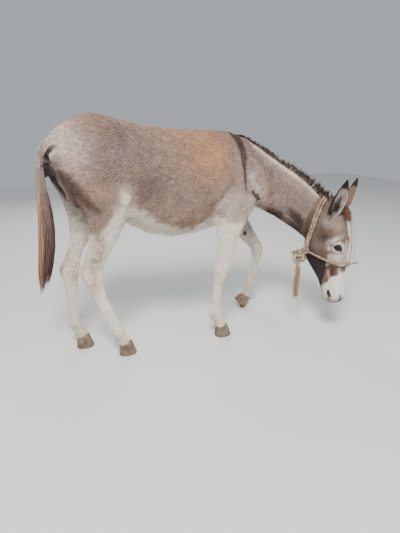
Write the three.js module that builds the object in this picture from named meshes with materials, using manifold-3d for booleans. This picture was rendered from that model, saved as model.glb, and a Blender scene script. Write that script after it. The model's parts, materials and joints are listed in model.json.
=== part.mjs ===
// A donkey that grazes in a rope halter: head low and turned to its right, weight on three
// legs, the left foreleg stepping with only its toe down. Millimetres, +X toward the head,
// +Y to the animal's left, +Z up, floor at z = 0.
import * as THREE from 'three';
import { mergeVertices } from 'three/addons/utils/BufferGeometryUtils.js';
import Module from 'manifold-3d';

const wasm = await Module();
wasm.setup();

// ---- driving dimensions -------------------------------------------------------------
const WITHERS = 1003; // height of the back over the shoulders
const CROUP = 1073; // height of the rump, the highest point
const BELLY = 521; // lowest point of the belly
const CHEST_HALF = 150; // half the width behind the elbows
const BARREL_HALF = 188; // half the width of the belly
const HIP_HALF = 166; // half the width over the hip bones
const POLL = [771, -282, 624]; // top of the head, between the ears
const FACE_AZIMUTH = -59; // degrees, the way the face looks, seen from above
const FACE_TURN = -28; // degrees, how much further the lips turn than the brow
const NOSE_DOWN = [0.035, -0.12, -1]; // direction from the poll to the lips
const EYE_RADIUS = 19.5;
const EAR_LENGTH = 202;
const CORONET_HEIGHT = 56; // middle of the hoof's upper edge over the sole
const HOOF_LENGTH = 86;
const HOOF_WIDTH = 70;
const ROPE_RADIUS = 5.5;
const GAP = 0.35; // clearance between neighbouring pieces

const TRUNK_SIDES = 20;
const NECK_SIDES = 18;
const HEAD_SIDES = 18;
const TAIL_SIDES = 12;
const ROPE_STEPS = 12;

const UP = new THREE.Vector3(0, 0, 1);
const FORWARD = new THREE.Vector3(1, 0, 0);
const LEFT = new THREE.Vector3(0, 1, 0);

// ---- solids ------------------------------------------------------------------------
function toSolid(geometry) {
  const bare = geometry.clone();
  bare.deleteAttribute('normal');
  bare.deleteAttribute('uv');
  const merged = mergeVertices(bare, 1e-3);
  return new wasm.Manifold(new wasm.Mesh({
    numProp: 3,
    vertProperties: new Float32Array(merged.attributes.position.array),
    triVerts: new Uint32Array(merged.index.array),
  }));
}

function toGeometry(solid) {
  const mesh = solid.getMesh();
  const geometry = new THREE.BufferGeometry();
  geometry.setAttribute('position', new THREE.BufferAttribute(mesh.vertProperties, 3));
  geometry.setIndex(new THREE.BufferAttribute(mesh.triVerts, 1));
  geometry.computeVertexNormals();
  return geometry;
}

// A box by its centre and size; the rows of axes turn it.
function block(centre, size, axes = [FORWARD, LEFT, UP]) {
  const geometry = new THREE.BoxGeometry(...size);
  geometry.applyMatrix4(new THREE.Matrix4().makeBasis(...axes));
  geometry.translate(...centre);
  return toSolid(geometry);
}

function ellipsoid(centre, axes, radii, segments = 10) {
  const geometry = new THREE.SphereGeometry(1, segments, Math.round(segments * 0.7));
  const basis = new THREE.Matrix4().makeBasis(...axes);
  const place = new THREE.Matrix4().makeTranslation(...centre.toArray());
  geometry.applyMatrix4(new THREE.Matrix4().makeScale(...radii));
  geometry.applyMatrix4(place.multiply(basis));
  return toSolid(geometry);
}

// ---- lofts through oval sections ------------------------------------------------------
// A station is one section: its centre, the axis that points to its upper side, the axis to
// its left side, its reach above and below the widest line, half its width, and how square
// it is above and below (2 is an ellipse, less is pointed, more is square).
function station(centre, up, side, above, below, half, squareAbove = 2, squareBelow = 2) {
  return { centre, up, side, above, below, half, squareAbove, squareBelow };
}

function numbers(s) {
  return [...s.centre.toArray(), ...s.up.toArray(), ...s.side.toArray(),
    s.above, s.below, s.half, s.squareAbove, s.squareBelow];
}

// The section at any place along a row of stations: 0 is the first, 1 the second, and so on.
// A cubic runs through the stations, each with the slope of the line between its neighbours.
function sectionAt(stations, place) {
  const last = stations.length - 1;
  const i = Math.min(Math.max(Math.floor(place), 0), last - 1);
  const t = place - i;
  const rows = [i - 1, i, i + 1, i + 2].map((k) => numbers(stations[Math.min(Math.max(k, 0), last)]));
  const reach = (a, b) => Math.hypot(a[0] - b[0], a[1] - b[1], a[2] - b[2]) || 1;
  const before = reach(rows[1], rows[0]);
  const here = reach(rows[2], rows[1]);
  const after = reach(rows[3], rows[2]);
  const value = rows[1].map((_, k) => {
    const step = (rows[2][k] - rows[1][k]) / here;
    const early = (rows[1][k] - rows[0][k]) / before;
    const slopeIn = i === 0 ? step : (step * before + early * here) / (before + here);
    const slopeOut = i === last - 1 ? step
      : (step * after + ((rows[3][k] - rows[2][k]) / after) * here) / (after + here);
    const [tt, ttt] = [t ** 2, t ** 3];
    const h = [2 * ttt - 3 * tt + 1, ttt - 2 * tt + t, 3 * tt - 2 * ttt, ttt - tt];
    return h[0] * rows[1][k] + h[1] * here * slopeIn + h[2] * rows[2][k] + h[3] * here * slopeOut;
  });
  const vector = (k) => new THREE.Vector3(value[k], value[k + 1], value[k + 2]);
  return station(vector(0), vector(3).normalize(), vector(6).normalize(), ...value.slice(9));
}

function sectionPoint(s, angle, grow = 0) {
  const c = Math.cos(angle);
  const v = Math.sin(angle);
  const square = v > 0 ? s.squareAbove : s.squareBelow;
  const reach = (v > 0 ? s.above : s.below) + grow;
  const across = (s.half + grow) * Math.sign(c) * Math.abs(c) ** (2 / square);
  const along = reach * Math.sign(v) * Math.abs(v) ** (2 / square);
  return s.centre.clone().addScaledVector(s.side, across).addScaledVector(s.up, along);
}

function loft(stations, { sides = 16, steps = 1, grow = 0 } = {}) {
  const points = [];
  const faces = [];
  const count = (stations.length - 1) * steps;
  for (let i = 0; i <= count; i += 1) {
    const s = sectionAt(stations, i / steps);
    for (let j = 0; j < sides; j += 1) {
      points.push(sectionPoint(s, ((j + 0.5) / sides) * 2 * Math.PI, grow));
    }
  }
  for (let i = 0; i < count; i += 1) {
    for (let j = 0; j < sides; j += 1) {
      const a = i * sides + j;
      const b = i * sides + ((j + 1) % sides);
      faces.push([a, b, b + sides], [a, b + sides, a + sides]);
    }
  }
  for (const [ring, flip] of [[0, true], [count, false]]) {
    const first = ring * sides;
    const middle = points.push(sectionAt(stations, ring / steps).centre.clone()) - 1;
    for (let j = 0; j < sides; j += 1) {
      const a = first + j;
      const b = first + ((j + 1) % sides);
      faces.push(flip ? [middle, b, a] : [middle, a, b]);
    }
  }
  return shell(points, faces);
}

// A closed solid from points and faces, turned so that its faces look outward.
function shell(points, faces) {
  let volume = 0;
  for (const [a, b, c] of faces) {
    volume += points[a].dot(new THREE.Vector3().crossVectors(points[b], points[c]));
  }
  const facing = volume > 0 ? faces : faces.map(([a, b, c]) => [a, c, b]);
  return new wasm.Manifold(new wasm.Mesh({
    numProp: 3,
    vertProperties: new Float32Array(points.flatMap((p) => p.toArray())),
    triVerts: new Uint32Array(facing.flat()),
  }));
}

// ---- trunk: upright sections from the buttocks to the breast -----------------------------
// x, top, bottom, half-width, height of the widest line as a share of the depth, squareness
const TRUNK = [
  [-530, 940, 850, 26, 0.5, 2, 2],
  [-514, 972, 790, 66, 0.52, 2, 2],
  [-480, 1011, 725, 112, 0.56, 2, 2],
  [-435, 1040, 690, 142, 0.6, 2, 2],
  [-385, 1062, 668, 158, 0.64, 2, 2],
  [-330, CROUP, 650, HIP_HALF, 0.66, 2.1, 2],
  [-270, 1061, 628, 168, 0.6, 2.1, 2],
  [-215, 1045, 598, 171, 0.5, 2, 2],
  [-120, 1023, 545, 182, 0.46, 2, 2.1],
  [-15, 1012, BELLY, BARREL_HALF, 0.44, 2, 2.1],
  [95, 1007, 527, 177, 0.42, 1.9, 2.1],
  [205, WITHERS, 552, CHEST_HALF, 0.4, 1.75, 2.1],
  [300, 994, 578, 132, 0.38, 1.6, 2.1],
  [375, 940, 608, 118, 0.42, 1.7, 2.1],
  [425, 870, 640, 96, 0.46, 1.9, 2.1],
  [452, 800, 680, 58, 0.5, 2, 2],
  [460, 765, 715, 22, 0.5, 2, 2],
].map(([x, top, bottom, half, widest, squareAbove, squareBelow]) => {
  const height = bottom + widest * (top - bottom);
  return station(new THREE.Vector3(x, 0, height), UP, LEFT,
    top - height, height - bottom, half, squareAbove, squareBelow);
});

// ---- neck: sections from inside the trunk to inside the head ------------------------------
// crest point, underside point, half-width, heading of the neck in degrees
const NECK = [
  [[300, 0, 985], [395, 0, 645], 116, 0],
  [[372, -4, 966], [452, -16, 628], 104, -8],
  [[462, -27, 909], [490, -38, 604], 88, -20],
  [[546, -62, 848], [527, -54, 584], 74, -30],
  [[612, -103, 801], [572, -78, 553], 64, -39],
  [[668, -149, 746], [622, -103, 517], 58, -46],
  [[714, -196, 690], [664, -124, 482], 54, -54],
  [[754, -244, 656], [704, -156, 460], 50, -62],
].map(([crest, under, half, heading]) => {
  const top = new THREE.Vector3(...crest);
  const bottom = new THREE.Vector3(...under);
  const turn = THREE.MathUtils.degToRad(heading + 90);
  const side = new THREE.Vector3(Math.cos(turn), Math.sin(turn), 0);
  const depth = top.distanceTo(bottom);
  const up = top.clone().sub(bottom).normalize();
  const centre = bottom.clone().lerp(top, 0.44);
  return station(centre, up, side, depth * 0.56, depth * 0.44, half, 1.75, 2.1);
});

// ---- head: sections down from the poll, the face on the upper side of each ------------------
// distance below the poll, face line, jaw line, half-width, squareness of face and jaw
const HEAD = [
  [-26, -24, -84, 22, 2, 2],
  [-14, -8, -108, 36, 2, 2],
  [8, 4, -126, 46, 2.1, 2],
  [45, 11, -152, 55, 2.3, 1.9],
  [86, 16, -178, 62, 2.4, 1.8],
  [124, 19, -196, 66, 2.5, 1.8],
  [158, 19, -204, 66, 2.5, 1.8],
  [195, 17, -204, 61, 2.4, 1.8],
  [240, 14, -193, 54, 2.3, 1.9],
  [288, 12, -169, 47, 2.3, 2],
  [336, 10, -140, 44, 2.3, 2.1],
  [376, 11, -118, 47, 2.5, 2.2],
  [408, 10, -106, 50, 2.7, 2.2],
  [430, 2, -95, 46, 2.6, 2.2],
  [443, -14, -80, 34, 2.4, 2.1],
  [449, -30, -66, 18, 2, 2],
];
const HEAD_DOWN = new THREE.Vector3(...NOSE_DOWN).normalize();

// The axes of the head at a distance below the poll: its face, and its left side.
function headAxes(down) {
  const turned = FACE_TURN * THREE.MathUtils.smoothstep(down, 175, 405);
  const azimuth = THREE.MathUtils.degToRad(FACE_AZIMUTH + turned);
  const face = new THREE.Vector3(Math.cos(azimuth), Math.sin(azimuth), 0);
  face.addScaledVector(HEAD_DOWN, -face.dot(HEAD_DOWN)).normalize();
  return { face, side: new THREE.Vector3().crossVectors(face, HEAD_DOWN) };
}

const TURN_AXIS = -75; // the line that the lips turn about lies this far below the face

function headPoint(down, across, out) {
  const start = headAxes(0);
  const here = headAxes(down);
  return new THREE.Vector3(...POLL).addScaledVector(HEAD_DOWN, down)
    .addScaledVector(start.face, TURN_AXIS)
    .addScaledVector(here.side, across).addScaledVector(here.face, out - TURN_AXIS);
}

const HEAD_SECTIONS = HEAD.map(([down, front, jaw, half, squareAbove, squareBelow]) => {
  const { face, side } = headAxes(down);
  const above = 0.36 * (front - jaw);
  return station(headPoint(down, 0, front - above), face, side,
    above, front - jaw - above, half, squareAbove, squareBelow);
});

function headEllipsoid(down, across, out, radii, segments) {
  const { face, side } = headAxes(down);
  return ellipsoid(headPoint(down, across, out), [HEAD_DOWN, side, face], radii, segments);
}

function makeHead() {
  let head = loft(HEAD_SECTIONS, { sides: HEAD_SIDES });
  for (const hand of [-1, 1]) {
    head = head.add(headEllipsoid(148, hand * 48, -14, [46, 16, 34])); // brow over the eye
    head = head.add(headEllipsoid(152, hand * 29, -132, [62, 26, 60])); // cheek muscle
  }
  head = head.add(headEllipsoid(426, 0, -94, [24, 27, 18])); // lower lip and chin
  return head;
}

// ---- legs: sections square to the bone ------------------------------------------------
// x, height, distance from the middle plane, depth, width, lift of the front edge in degrees
const FORE_RIGHT = [
  [270, 900, 56, 60, 40, 0],
  [284, 835, 80, 135, 72, 0],
  [294, 765, 96, 205, 92, 0],
  [288, 695, 107, 228, 102, 0],
  [264, 630, 115, 192, 100, 0],
  [249, 575, 117, 148, 88, 0],
  [241, 520, 117, 114, 78, 0],
  [237, 470, 116, 96, 70, 0],
  [224, 405, 115, 78, 62, 0],
  [211, 355, 114, 67, 60, 0],
  [204, 325, 113, 67, 60, 0],
  [199, 294, 113, 58, 52, 0],
  [192, 250, 112, 49, 40, 0],
  [187, 205, 111, 47, 37, 0],
  [184, 160, 110, 50, 39, 0],
  [182, 126, 109, 60, 47, 2],
  [191, 100, 109, 51, 44, 14],
  [207, 76, 108, 50, 46, 22],
  [219, CORONET_HEIGHT, 108, 61, 58, 22],
];
const FORE_LEFT = [
  [280, 900, 56, 60, 40, 0],
  [302, 835, 80, 135, 72, 0],
  [321, 765, 96, 200, 92, 0],
  [336, 695, 109, 210, 102, 6],
  [355, 632, 119, 175, 100, 18],
  [388, 572, 123, 138, 90, 32],
  [430, 514, 125, 112, 78, 42],
  [474, 456, 126, 92, 70, 42],
  [512, 412, 127, 76, 62, 36],
  [540, 376, 128, 68, 60, 20],
  [546, 346, 129, 65, 58, 4],
  [544, 316, 131, 56, 50, -6],
  [539, 275, 134, 49, 39, -8],
  [532, 230, 137, 48, 37, -8],
  [526, 185, 141, 50, 39, -10],
  [520, 148, 145, 60, 47, -14],
  [511, 121, 148, 51, 44, -26],
  [503, 92, 152, 50, 46, -30],
  [497, 67, 155, 61, 58, -30],
];
const HIND_RIGHT = [
  [-372, 930, 74, 90, 60, 0],
  [-376, 868, 90, 175, 86, 0],
  [-350, 804, 102, 250, 108, 0],
  [-326, 740, 107, 250, 116, 0],
  [-314, 690, 107, 210, 110, 0],
  [-316, 635, 105, 164, 94, 0],
  [-330, 578, 101, 132, 80, 0],
  [-356, 520, 98, 118, 68, 0],
  [-382, 468, 95, 103, 58, 0],
  [-395, 428, 94, 101, 54, 0],
  [-393, 388, 94, 87, 54, 0],
  [-386, 350, 94, 70, 48, 0],
  [-368, 292, 96, 61, 42, -4],
  [-337, 208, 98, 60, 40, -8],
  [-318, 155, 100, 61, 42, -6],
  [-307, 122, 101, 66, 49, 0],
  [-297, 98, 102, 54, 46, 12],
  [-285, 76, 103, 52, 47, 22],
  [-273, CORONET_HEIGHT, 103, 61, 58, 22],
];
const HIND_LEFT = [
  [-382, 930, 74, 90, 60, 0],
  [-392, 868, 90, 175, 86, 0],
  [-376, 804, 101, 248, 108, 0],
  [-364, 740, 106, 248, 116, 0],
  [-372, 690, 106, 205, 108, 0],
  [-382, 635, 103, 158, 94, 0],
  [-396, 578, 99, 126, 80, 0],
  [-419, 520, 95, 100, 66, 0],
  [-446, 468, 91, 76, 55, 0],
  [-463, 425, 88, 84, 53, 0],
  [-475, 385, 86, 93, 54, 0],
  [-478, 340, 82, 74, 48, 0],
  [-478, 284, 75, 58, 42, 0],
  [-481, 208, 63, 54, 40, 0],
  [-482, 155, 54, 55, 42, 0],
  [-481, 122, 49, 62, 49, 2],
  [-474, 98, 45, 54, 46, 14],
  [-463, 76, 42, 52, 47, 22],
  [-451, CORONET_HEIGHT, 40, 61, 58, 22],
];

function legSections(rows, hand) {
  return rows.map(([x, z, y, depth, width, lift]) => {
    const angle = THREE.MathUtils.degToRad(lift);
    const front = new THREE.Vector3(Math.cos(angle), 0, Math.sin(angle));
    return station(new THREE.Vector3(x, hand * y, z), front, LEFT, depth / 2, depth / 2, width / 2, 2.1, 2);
  });
}

// A hoof grows from the last section of its leg: the wall widens to a flat sole. On the
// stepping foot it is turned with the pastern, and the floor flattens the tip of the toe.
const STANDING_LIFT = 22; // lift of the coronet's front edge when the sole is flat

function hoof(sections) {
  const coronet = sections[sections.length - 1];
  const lift = Math.atan2(coronet.up.z, coronet.up.x);
  const roll = lift - THREE.MathUtils.degToRad(STANDING_LIFT);
  const turned = (x, z) => new THREE.Vector3(x * Math.cos(roll) - z * Math.sin(roll), 0,
    x * Math.sin(roll) + z * Math.cos(roll));
  const rows = [
    // share of the way down, shift forward, depth, width, lift
    [0, 0, 60, 56, STANDING_LIFT],
    [0.3, 2, 68, 62, 15],
    [0.65, 5, 77, 67, 7],
    [1, 8, HOOF_LENGTH, HOOF_WIDTH, 0],
  ];
  const upFoot = new THREE.Vector3(-Math.sin(lift), 0, Math.cos(lift));
  const start = coronet.centre.clone().addScaledVector(upFoot, -GAP);
  const stations = rows.map(([share, shift, depth, width, tip]) => {
    const angle = THREE.MathUtils.degToRad(tip) + roll;
    const front = new THREE.Vector3(Math.cos(angle), 0, Math.sin(angle));
    const centre = start.clone().add(turned(shift, -share * (CORONET_HEIGHT + 1)));
    return station(centre, front, LEFT, depth / 2, depth / 2, width / 2, 2.2, 2.6);
  });
  return loft(stations, { sides: 14 }).subtract(block([0, 0, -50], [3000, 3000, 100]));
}

// ---- ears: a tapering shell, open to the front and outside ---------------------------------
// share of the length, half-width, depth from the back of the ear to its widest line
const EAR = [
  [0, 18, 17],
  [0.14, 26, 23],
  [0.3, 31, 24],
  [0.46, 32, 21],
  [0.62, 28, 16],
  [0.76, 22, 12],
  [0.88, 14, 8],
  [0.96, 7, 5],
  [1, 3, 3],
];
const EAR_WALL = 3;
const EAR_LEAN = { down: -0.93, across: 0.17, out: 0.46 };
const EAR_OPENING = 48; // degrees outward from the way the face looks

function ear(hand) {
  const { face, side } = headAxes(0);
  const along = HEAD_DOWN.clone().multiplyScalar(EAR_LEAN.down)
    .addScaledVector(side, hand * EAR_LEAN.across).addScaledVector(face, EAR_LEAN.out).normalize();
  const angle = THREE.MathUtils.degToRad(EAR_OPENING);
  const opening = face.clone().multiplyScalar(Math.cos(angle)).addScaledVector(side, hand * Math.sin(angle));
  opening.addScaledVector(along, -opening.dot(along)).normalize();
  const back = opening.clone().negate();
  const across = new THREE.Vector3().crossVectors(along, back);
  const root = headPoint(24, hand * 42, -50);
  const place = (share, lift) => root.clone().addScaledVector(along, share * EAR_LENGTH)
    .addScaledVector(opening, lift + 9 * Math.sin(Math.PI * share));
  const outer = EAR.map(([share, half, depth]) => station(place(share, 0), back, across,
    depth, depth * 0.55, half, 2, 2));
  const inner = EAR.slice(1, -1).map(([share, half, depth]) => station(place(share, 0), back, across,
    depth - EAR_WALL, depth * 1.6, half - EAR_WALL * 0.8, 2, 3));
  return loft(outer, { sides: 12 }).subtract(loft(inner, { sides: 12 }));
}

// ---- tail ------------------------------------------------------------------------
// x, height, depth, width
const DOCK = [
  [-488, 962, 40, 60],
  [-512, 948, 44, 56],
  [-536, 915, 42, 48],
  [-549, 872, 38, 42],
  [-555, 820, 34, 38],
  [-556, 770, 30, 34],
  [-555, 725, 24, 28],
];
const SWITCH = [
  [-555, 775, 34, 38],
  [-553, 745, 44, 46],
  [-552, 680, 54, 52],
  [-556, 600, 63, 58],
  [-565, 515, 66, 60],
  [-579, 435, 62, 54],
  [-592, 375, 48, 42],
  [-603, 332, 26, 24],
  [-611, 306, 6, 6],
];

function tailSections(rows) {
  const points = rows.map(([x, z]) => new THREE.Vector3(x, 0, z));
  return rows.map(([, , depth, width], i) => {
    const [after, before] = [points[Math.min(i + 1, rows.length - 1)], points[Math.max(i - 1, 0)]];
    const along = after.clone().sub(before).normalize();
    const back = new THREE.Vector3().crossVectors(along, LEFT).normalize();
    return station(points[i], back, LEFT, depth / 2, depth / 2, width / 2);
  });
}

// ---- mane and forelock ---------------------------------------------------------------
// place along the neck's stations, height over the crest, half-thickness
const MANE = [
  [0.75, 3, 8],
  [1.3, 12, 11],
  [2, 18, 12],
  [3, 20, 13],
  [4, 23, 13],
  [5, 29, 13],
  [6, 38, 14],
  [6.7, 40, 14],
  [7, 28, 12],
];
const MANE_ROOT = 18; // how deep the mane's solid starts inside the neck

function maneSections() {
  return MANE.map(([place, height, half]) => {
    const s = sectionAt(NECK, place);
    const reach = (height + MANE_ROOT) / 2;
    const centre = s.centre.clone().addScaledVector(s.up, s.above - MANE_ROOT + reach);
    return station(centre, s.up, s.side, reach, reach, half, 2, 2.4);
  });
}

// distance below the poll, distance out from it, half-width, half-thickness
const FORELOCK = [
  [-50, -42, 10, 9],
  [-44, -22, 16, 13],
  [-26, 0, 20, 15],
  [0, 15, 20, 13],
  [26, 24, 15, 9],
  [46, 28, 6, 4],
];

function forelockSections() {
  return FORELOCK.map(([down, out, half, thick]) => {
    const { face, side } = headAxes(0);
    return station(headPoint(down, 0, out), face, side, thick, thick, half);
  });
}

// ---- halter: ropes drawn round the head ------------------------------------------------
// The line of a taut rope through three places on a solid: in their plane it follows the
// hull of the cut, moved out by the rope's radius.
const ROPE_REACH = 230; // only what is this near the rope's middle can hold it off

function tautRoute(solid, from, over, to, lift, count) {
  const across = to.clone().sub(from).normalize();
  const normal = new THREE.Vector3().crossVectors(over.clone().sub(from), across).normalize();
  const out = new THREE.Vector3().crossVectors(across, normal).normalize();
  const middle = from.clone().add(over).add(to).divideScalar(3);
  const flat = [];
  const { vertProperties, triVerts } = solid.getMesh();
  const corner = (i) => new THREE.Vector3().fromArray(vertProperties, 3 * triVerts[i]);
  for (let i = 0; i < triVerts.length; i += 3) {
    const corners = [corner(i), corner(i + 1), corner(i + 2)];
    const heights = corners.map((p) => p.clone().sub(from).dot(normal));
    for (let k = 0; k < 3; k += 1) {
      const next = (k + 1) % 3;
      if (heights[k] * heights[next] < 0) {
        const p = corners[k].clone().lerp(corners[next], heights[k] / (heights[k] - heights[next]));
        if (p.distanceTo(middle) < ROPE_REACH) {
          p.sub(from);
          flat.push([p.dot(across), p.dot(out)]);
        }
      }
    }
  }
  const round = [];
  for (let degrees = 0; degrees < 360; degrees += 2) {
    const angle = THREE.MathUtils.degToRad(degrees);
    const [x, y] = [Math.cos(angle), Math.sin(angle)];
    const far = flat.reduce((best, p) => (p[0] * x + p[1] * y > best[0] * x + best[1] * y ? p : best));
    round.push(from.clone().addScaledVector(across, far[0] + lift * x)
      .addScaledVector(out, far[1] + lift * y));
  }
  const nearest = (place) => round.reduce((best, p, i) => (
    p.distanceTo(place) < round[best].distanceTo(place) ? i : best), 0);
  const [start, top, end] = [nearest(from), nearest(over), nearest(to)];
  const size = round.length;
  const ahead = (a, b) => (b - a + size) % size;
  const step = ahead(start, top) <= ahead(start, end) ? 1 : -1;
  const line = [];
  for (let i = start; i !== end; i = (i + step + size) % size) line.push(round[i]);
  line.push(round[end]);
  const tidy = line.filter((p, i) => i === 0 || p.distanceTo(line[i - 1]) > 1);
  const spaced = new THREE.CatmullRomCurve3(tidy, false, 'centripetal').getSpacedPoints(count);
  return new THREE.CatmullRomCurve3(spaced);
}

function rope(curve, radius, steps, sides = 6) {
  const section = new THREE.Shape();
  for (let i = 0; i < sides; i += 1) {
    const angle = (i / sides) * 2 * Math.PI;
    const [x, y] = [radius * Math.cos(angle), radius * Math.sin(angle)];
    if (i === 0) section.moveTo(x, y);
    else section.lineTo(x, y);
  }
  section.closePath();
  return toSolid(new THREE.ExtrudeGeometry(section, { steps, extrudePath: curve, bevelEnabled: false }));
}

function ring(centre, axis, radius, thickness) {
  const geometry = new THREE.TorusGeometry(radius, thickness, 5, 10);
  geometry.applyQuaternion(new THREE.Quaternion().setFromUnitVectors(UP, axis.clone().normalize()));
  geometry.translate(...centre.toArray());
  return toSolid(geometry);
}

// ---- the animal ---------------------------------------------------------------------
const trunk = loft(TRUNK, { sides: TRUNK_SIDES });
const neck = loft(NECK, { sides: NECK_SIDES });
const head = makeHead();
const legs = {
  foreleg_right: { sections: legSections(FORE_RIGHT, -1) },
  foreleg_left: { sections: legSections(FORE_LEFT, 1) },
  hindleg_right: { sections: legSections(HIND_RIGHT, -1) },
  hindleg_left: { sections: legSections(HIND_LEFT, 1) },
};
let flesh = trunk.add(neck).add(head);
for (const leg of Object.values(legs)) flesh = flesh.add(loft(leg.sections, { sides: 12 }));

const EYE = { down: 160, across: 51, out: -13 };
const eyes = {};
for (const [name, hand] of [['eye_left', 1], ['eye_right', -1]]) {
  const place = [EYE.down, hand * EYE.across, EYE.out];
  eyes[name] = headEllipsoid(...place, [EYE_RADIUS, EYE_RADIUS, EYE_RADIUS]);
  const socket = EYE_RADIUS + GAP;
  flesh = flesh.subtract(headEllipsoid(...place, [socket, socket, socket]));
  flesh = flesh.subtract(headEllipsoid(402, hand * 41, -9, [15, 9, 10], 8)); // nostril
}

// ---- halter ------------------------------------------------------------------------
const KNOT = { down: 179, across: 44, out: -176 };
const knotRight = headPoint(KNOT.down, -KNOT.across, KNOT.out);
const knotLeft = headPoint(KNOT.down, KNOT.across, KNOT.out);
const crest = sectionPoint(sectionAt(NECK, 6.15), Math.PI / 2);
const neckAndHead = neck.add(head);

function strand(over, shift, lift = ROPE_RADIUS + 1) {
  const moved = (p) => p.clone().add(shift);
  return tautRoute(neckAndHead, moved(knotRight), moved(over), moved(knotLeft), lift, 18);
}

// The two crown ropes lie side by side.
const beside = new THREE.Vector3()
  .crossVectors(crest.clone().sub(knotRight), knotLeft.clone().sub(knotRight))
  .setLength(ROPE_RADIUS + GAP);
const routes = {
  halter_crown_front: strand(crest, beside),
  halter_crown_back: strand(crest, beside.clone().negate()),
  halter_noseband: strand(headPoint(250, 0, 14), new THREE.Vector3()),
  halter_jaw_rope: strand(headPoint(216, 0, -190), new THREE.Vector3()),
};
// The cheek strand stands a little off the left side of the face.
const STRAND_RADIUS = 3;
const FACE_STRAND = [[10, 30, 14], [60, 40, 23], [120, 46, 25], [180, 38, 25], [234, 16, 25]];
const faceStrand = new THREE.CatmullRomCurve3(FACE_STRAND.map((place) => headPoint(...place)));

// A knot is a lump of turns; on the right two loops and a second lump hang under it.
const noseKnot = headPoint(251, 8, 22);
const noseEnd = headPoint(241, 18, 62);
const bundle = knotRight.clone().add(new THREE.Vector3(-34, 14, -42));
const backLoop = bundle.clone().add(new THREE.Vector3(-22, -6, 20));
const turns = (centre, reach, grow) => (
  ellipsoid(centre, [FORWARD, LEFT, UP], reach.map((size) => size + grow), 8));
const knots = {
  halter_knot_right: (grow) => turns(knotRight, [21, 19, 24], grow)
    .add(turns(bundle, [19, 17, 22], grow))
    .add(ring(knotRight.clone().lerp(bundle, 0.5), LEFT, 24, ROPE_RADIUS + grow))
    .add(ring(backLoop, new THREE.Vector3(0.5, 1, 0.3), 20, ROPE_RADIUS + grow)),
  halter_knot_left: (grow) => turns(knotLeft, [19, 18, 21], grow),
};
const ropes = {};
for (const [name, route] of Object.entries(routes)) ropes[name] = rope(route, ROPE_RADIUS, ROPE_STEPS);
// The noseband is knotted over the nose, and a short end stands off the knot.
const noseTie = (grow) => turns(noseKnot, [11, 11, 12], grow)
  .add(rope(new THREE.LineCurve3(noseKnot, noseEnd), STRAND_RADIUS + grow, 1, 6));
ropes.halter_noseband = ropes.halter_noseband.add(noseTie(0));
ropes.halter_face_strand = rope(faceStrand, STRAND_RADIUS, 8, 6).subtract(noseTie(GAP));
const grownKnots = Object.values(knots).map((knot) => knot(GAP));
for (const [name, solid] of Object.entries(ropes)) {
  ropes[name] = grownKnots.reduce((left, knot) => left.subtract(knot), solid);
}
const channels = Object.values(routes).map((route) => rope(route, ROPE_RADIUS + GAP, ROPE_STEPS));
const strandRoom = rope(faceStrand, STRAND_RADIUS + GAP, 8, 6);
for (const cutter of [...channels, ...grownKnots, noseTie(GAP), strandRoom]) {
  flesh = flesh.subtract(cutter);
}

// ---- parting the flesh ------------------------------------------------------------------
// Each part is what a thin slab, or a prism drawn in side view, takes off the rest.
function prism(outline, inner, outer, grow) {
  const count = outline.length;
  const middle = outline.reduce((sum, [x, z]) => [sum[0] + x / count, sum[1] + z / count], [0, 0]);
  const shape = new THREE.Shape(outline.map(([x, z]) => {
    const away = new THREE.Vector2(x - middle[0], z - middle[1]);
    away.setLength(away.length() + grow);
    return new THREE.Vector2(middle[0] + away.x, middle[1] + away.y);
  }));
  const low = Math.min(inner, outer) - grow;
  const high = Math.max(inner, outer) + grow;
  const geometry = new THREE.ExtrudeGeometry(shape, { depth: high - low, bevelEnabled: false });
  geometry.rotateX(Math.PI / 2);
  geometry.translate(0, high, 0);
  return toSolid(geometry);
}

const HIND_ZONE = [[-620, 832], [-190, 772], [-150, -20], [-620, -20]];
const FORE_ZONE = [[125, 612], [425, 638], [425, -20], [125, -20]];
const STEPPING_ZONE = [[125, 612], [455, 642], [640, 560], [640, -20], [125, -20]];
const parts = {};
for (const [name, zone, inner, hand] of [
  ['hindleg_right', HIND_ZONE, 0.2, -1],
  ['hindleg_left', HIND_ZONE, 0.2, 1],
  ['foreleg_right', FORE_ZONE, 48, -1],
  ['foreleg_left', STEPPING_ZONE, 48, 1],
]) {
  parts[name] = flesh.intersect(prism(zone, hand * inner, hand * 320, -GAP / 2));
  flesh = flesh.subtract(prism(zone, hand * inner, hand * 320, GAP / 2));
}

function slab(top, bottom, side, length, width) {
  const up = top.clone().sub(bottom).normalize();
  const normal = new THREE.Vector3().crossVectors(side, up).normalize();
  const across = new THREE.Vector3().crossVectors(normal, up);
  const centre = top.clone().add(bottom).divideScalar(2);
  return block(centre.toArray(), [length, width, GAP], [up, across, normal]);
}

flesh = flesh.subtract(slab(new THREE.Vector3(384, 0, 955), new THREE.Vector3(478, 0, 615), LEFT, 420, 420));
flesh = flesh.subtract(slab(headPoint(-45, 0, -128), headPoint(125, 0, -210), headAxes(0).side, 460, 300));

// Names the bodies of a solid by the place that each one's box is centred nearest to.
function named(solid, places) {
  const pieces = solid.decompose().map((piece) => {
    const { min, max } = piece.boundingBox();
    const centre = new THREE.Vector3(...min).add(new THREE.Vector3(...max)).divideScalar(2);
    return { piece, centre, volume: piece.volume() };
  });
  pieces.sort((a, b) => b.volume - a.volume);
  const taken = {};
  for (const { piece, centre } of pieces.slice(0, Object.keys(places).length)) {
    const free = Object.entries(places).filter(([name]) => !taken[name]);
    const [name] = free.reduce((best, entry) => (
      centre.distanceTo(entry[1]) < centre.distanceTo(best[1]) ? entry : best));
    taken[name] = piece;
  }
  return taken;
}

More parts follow.
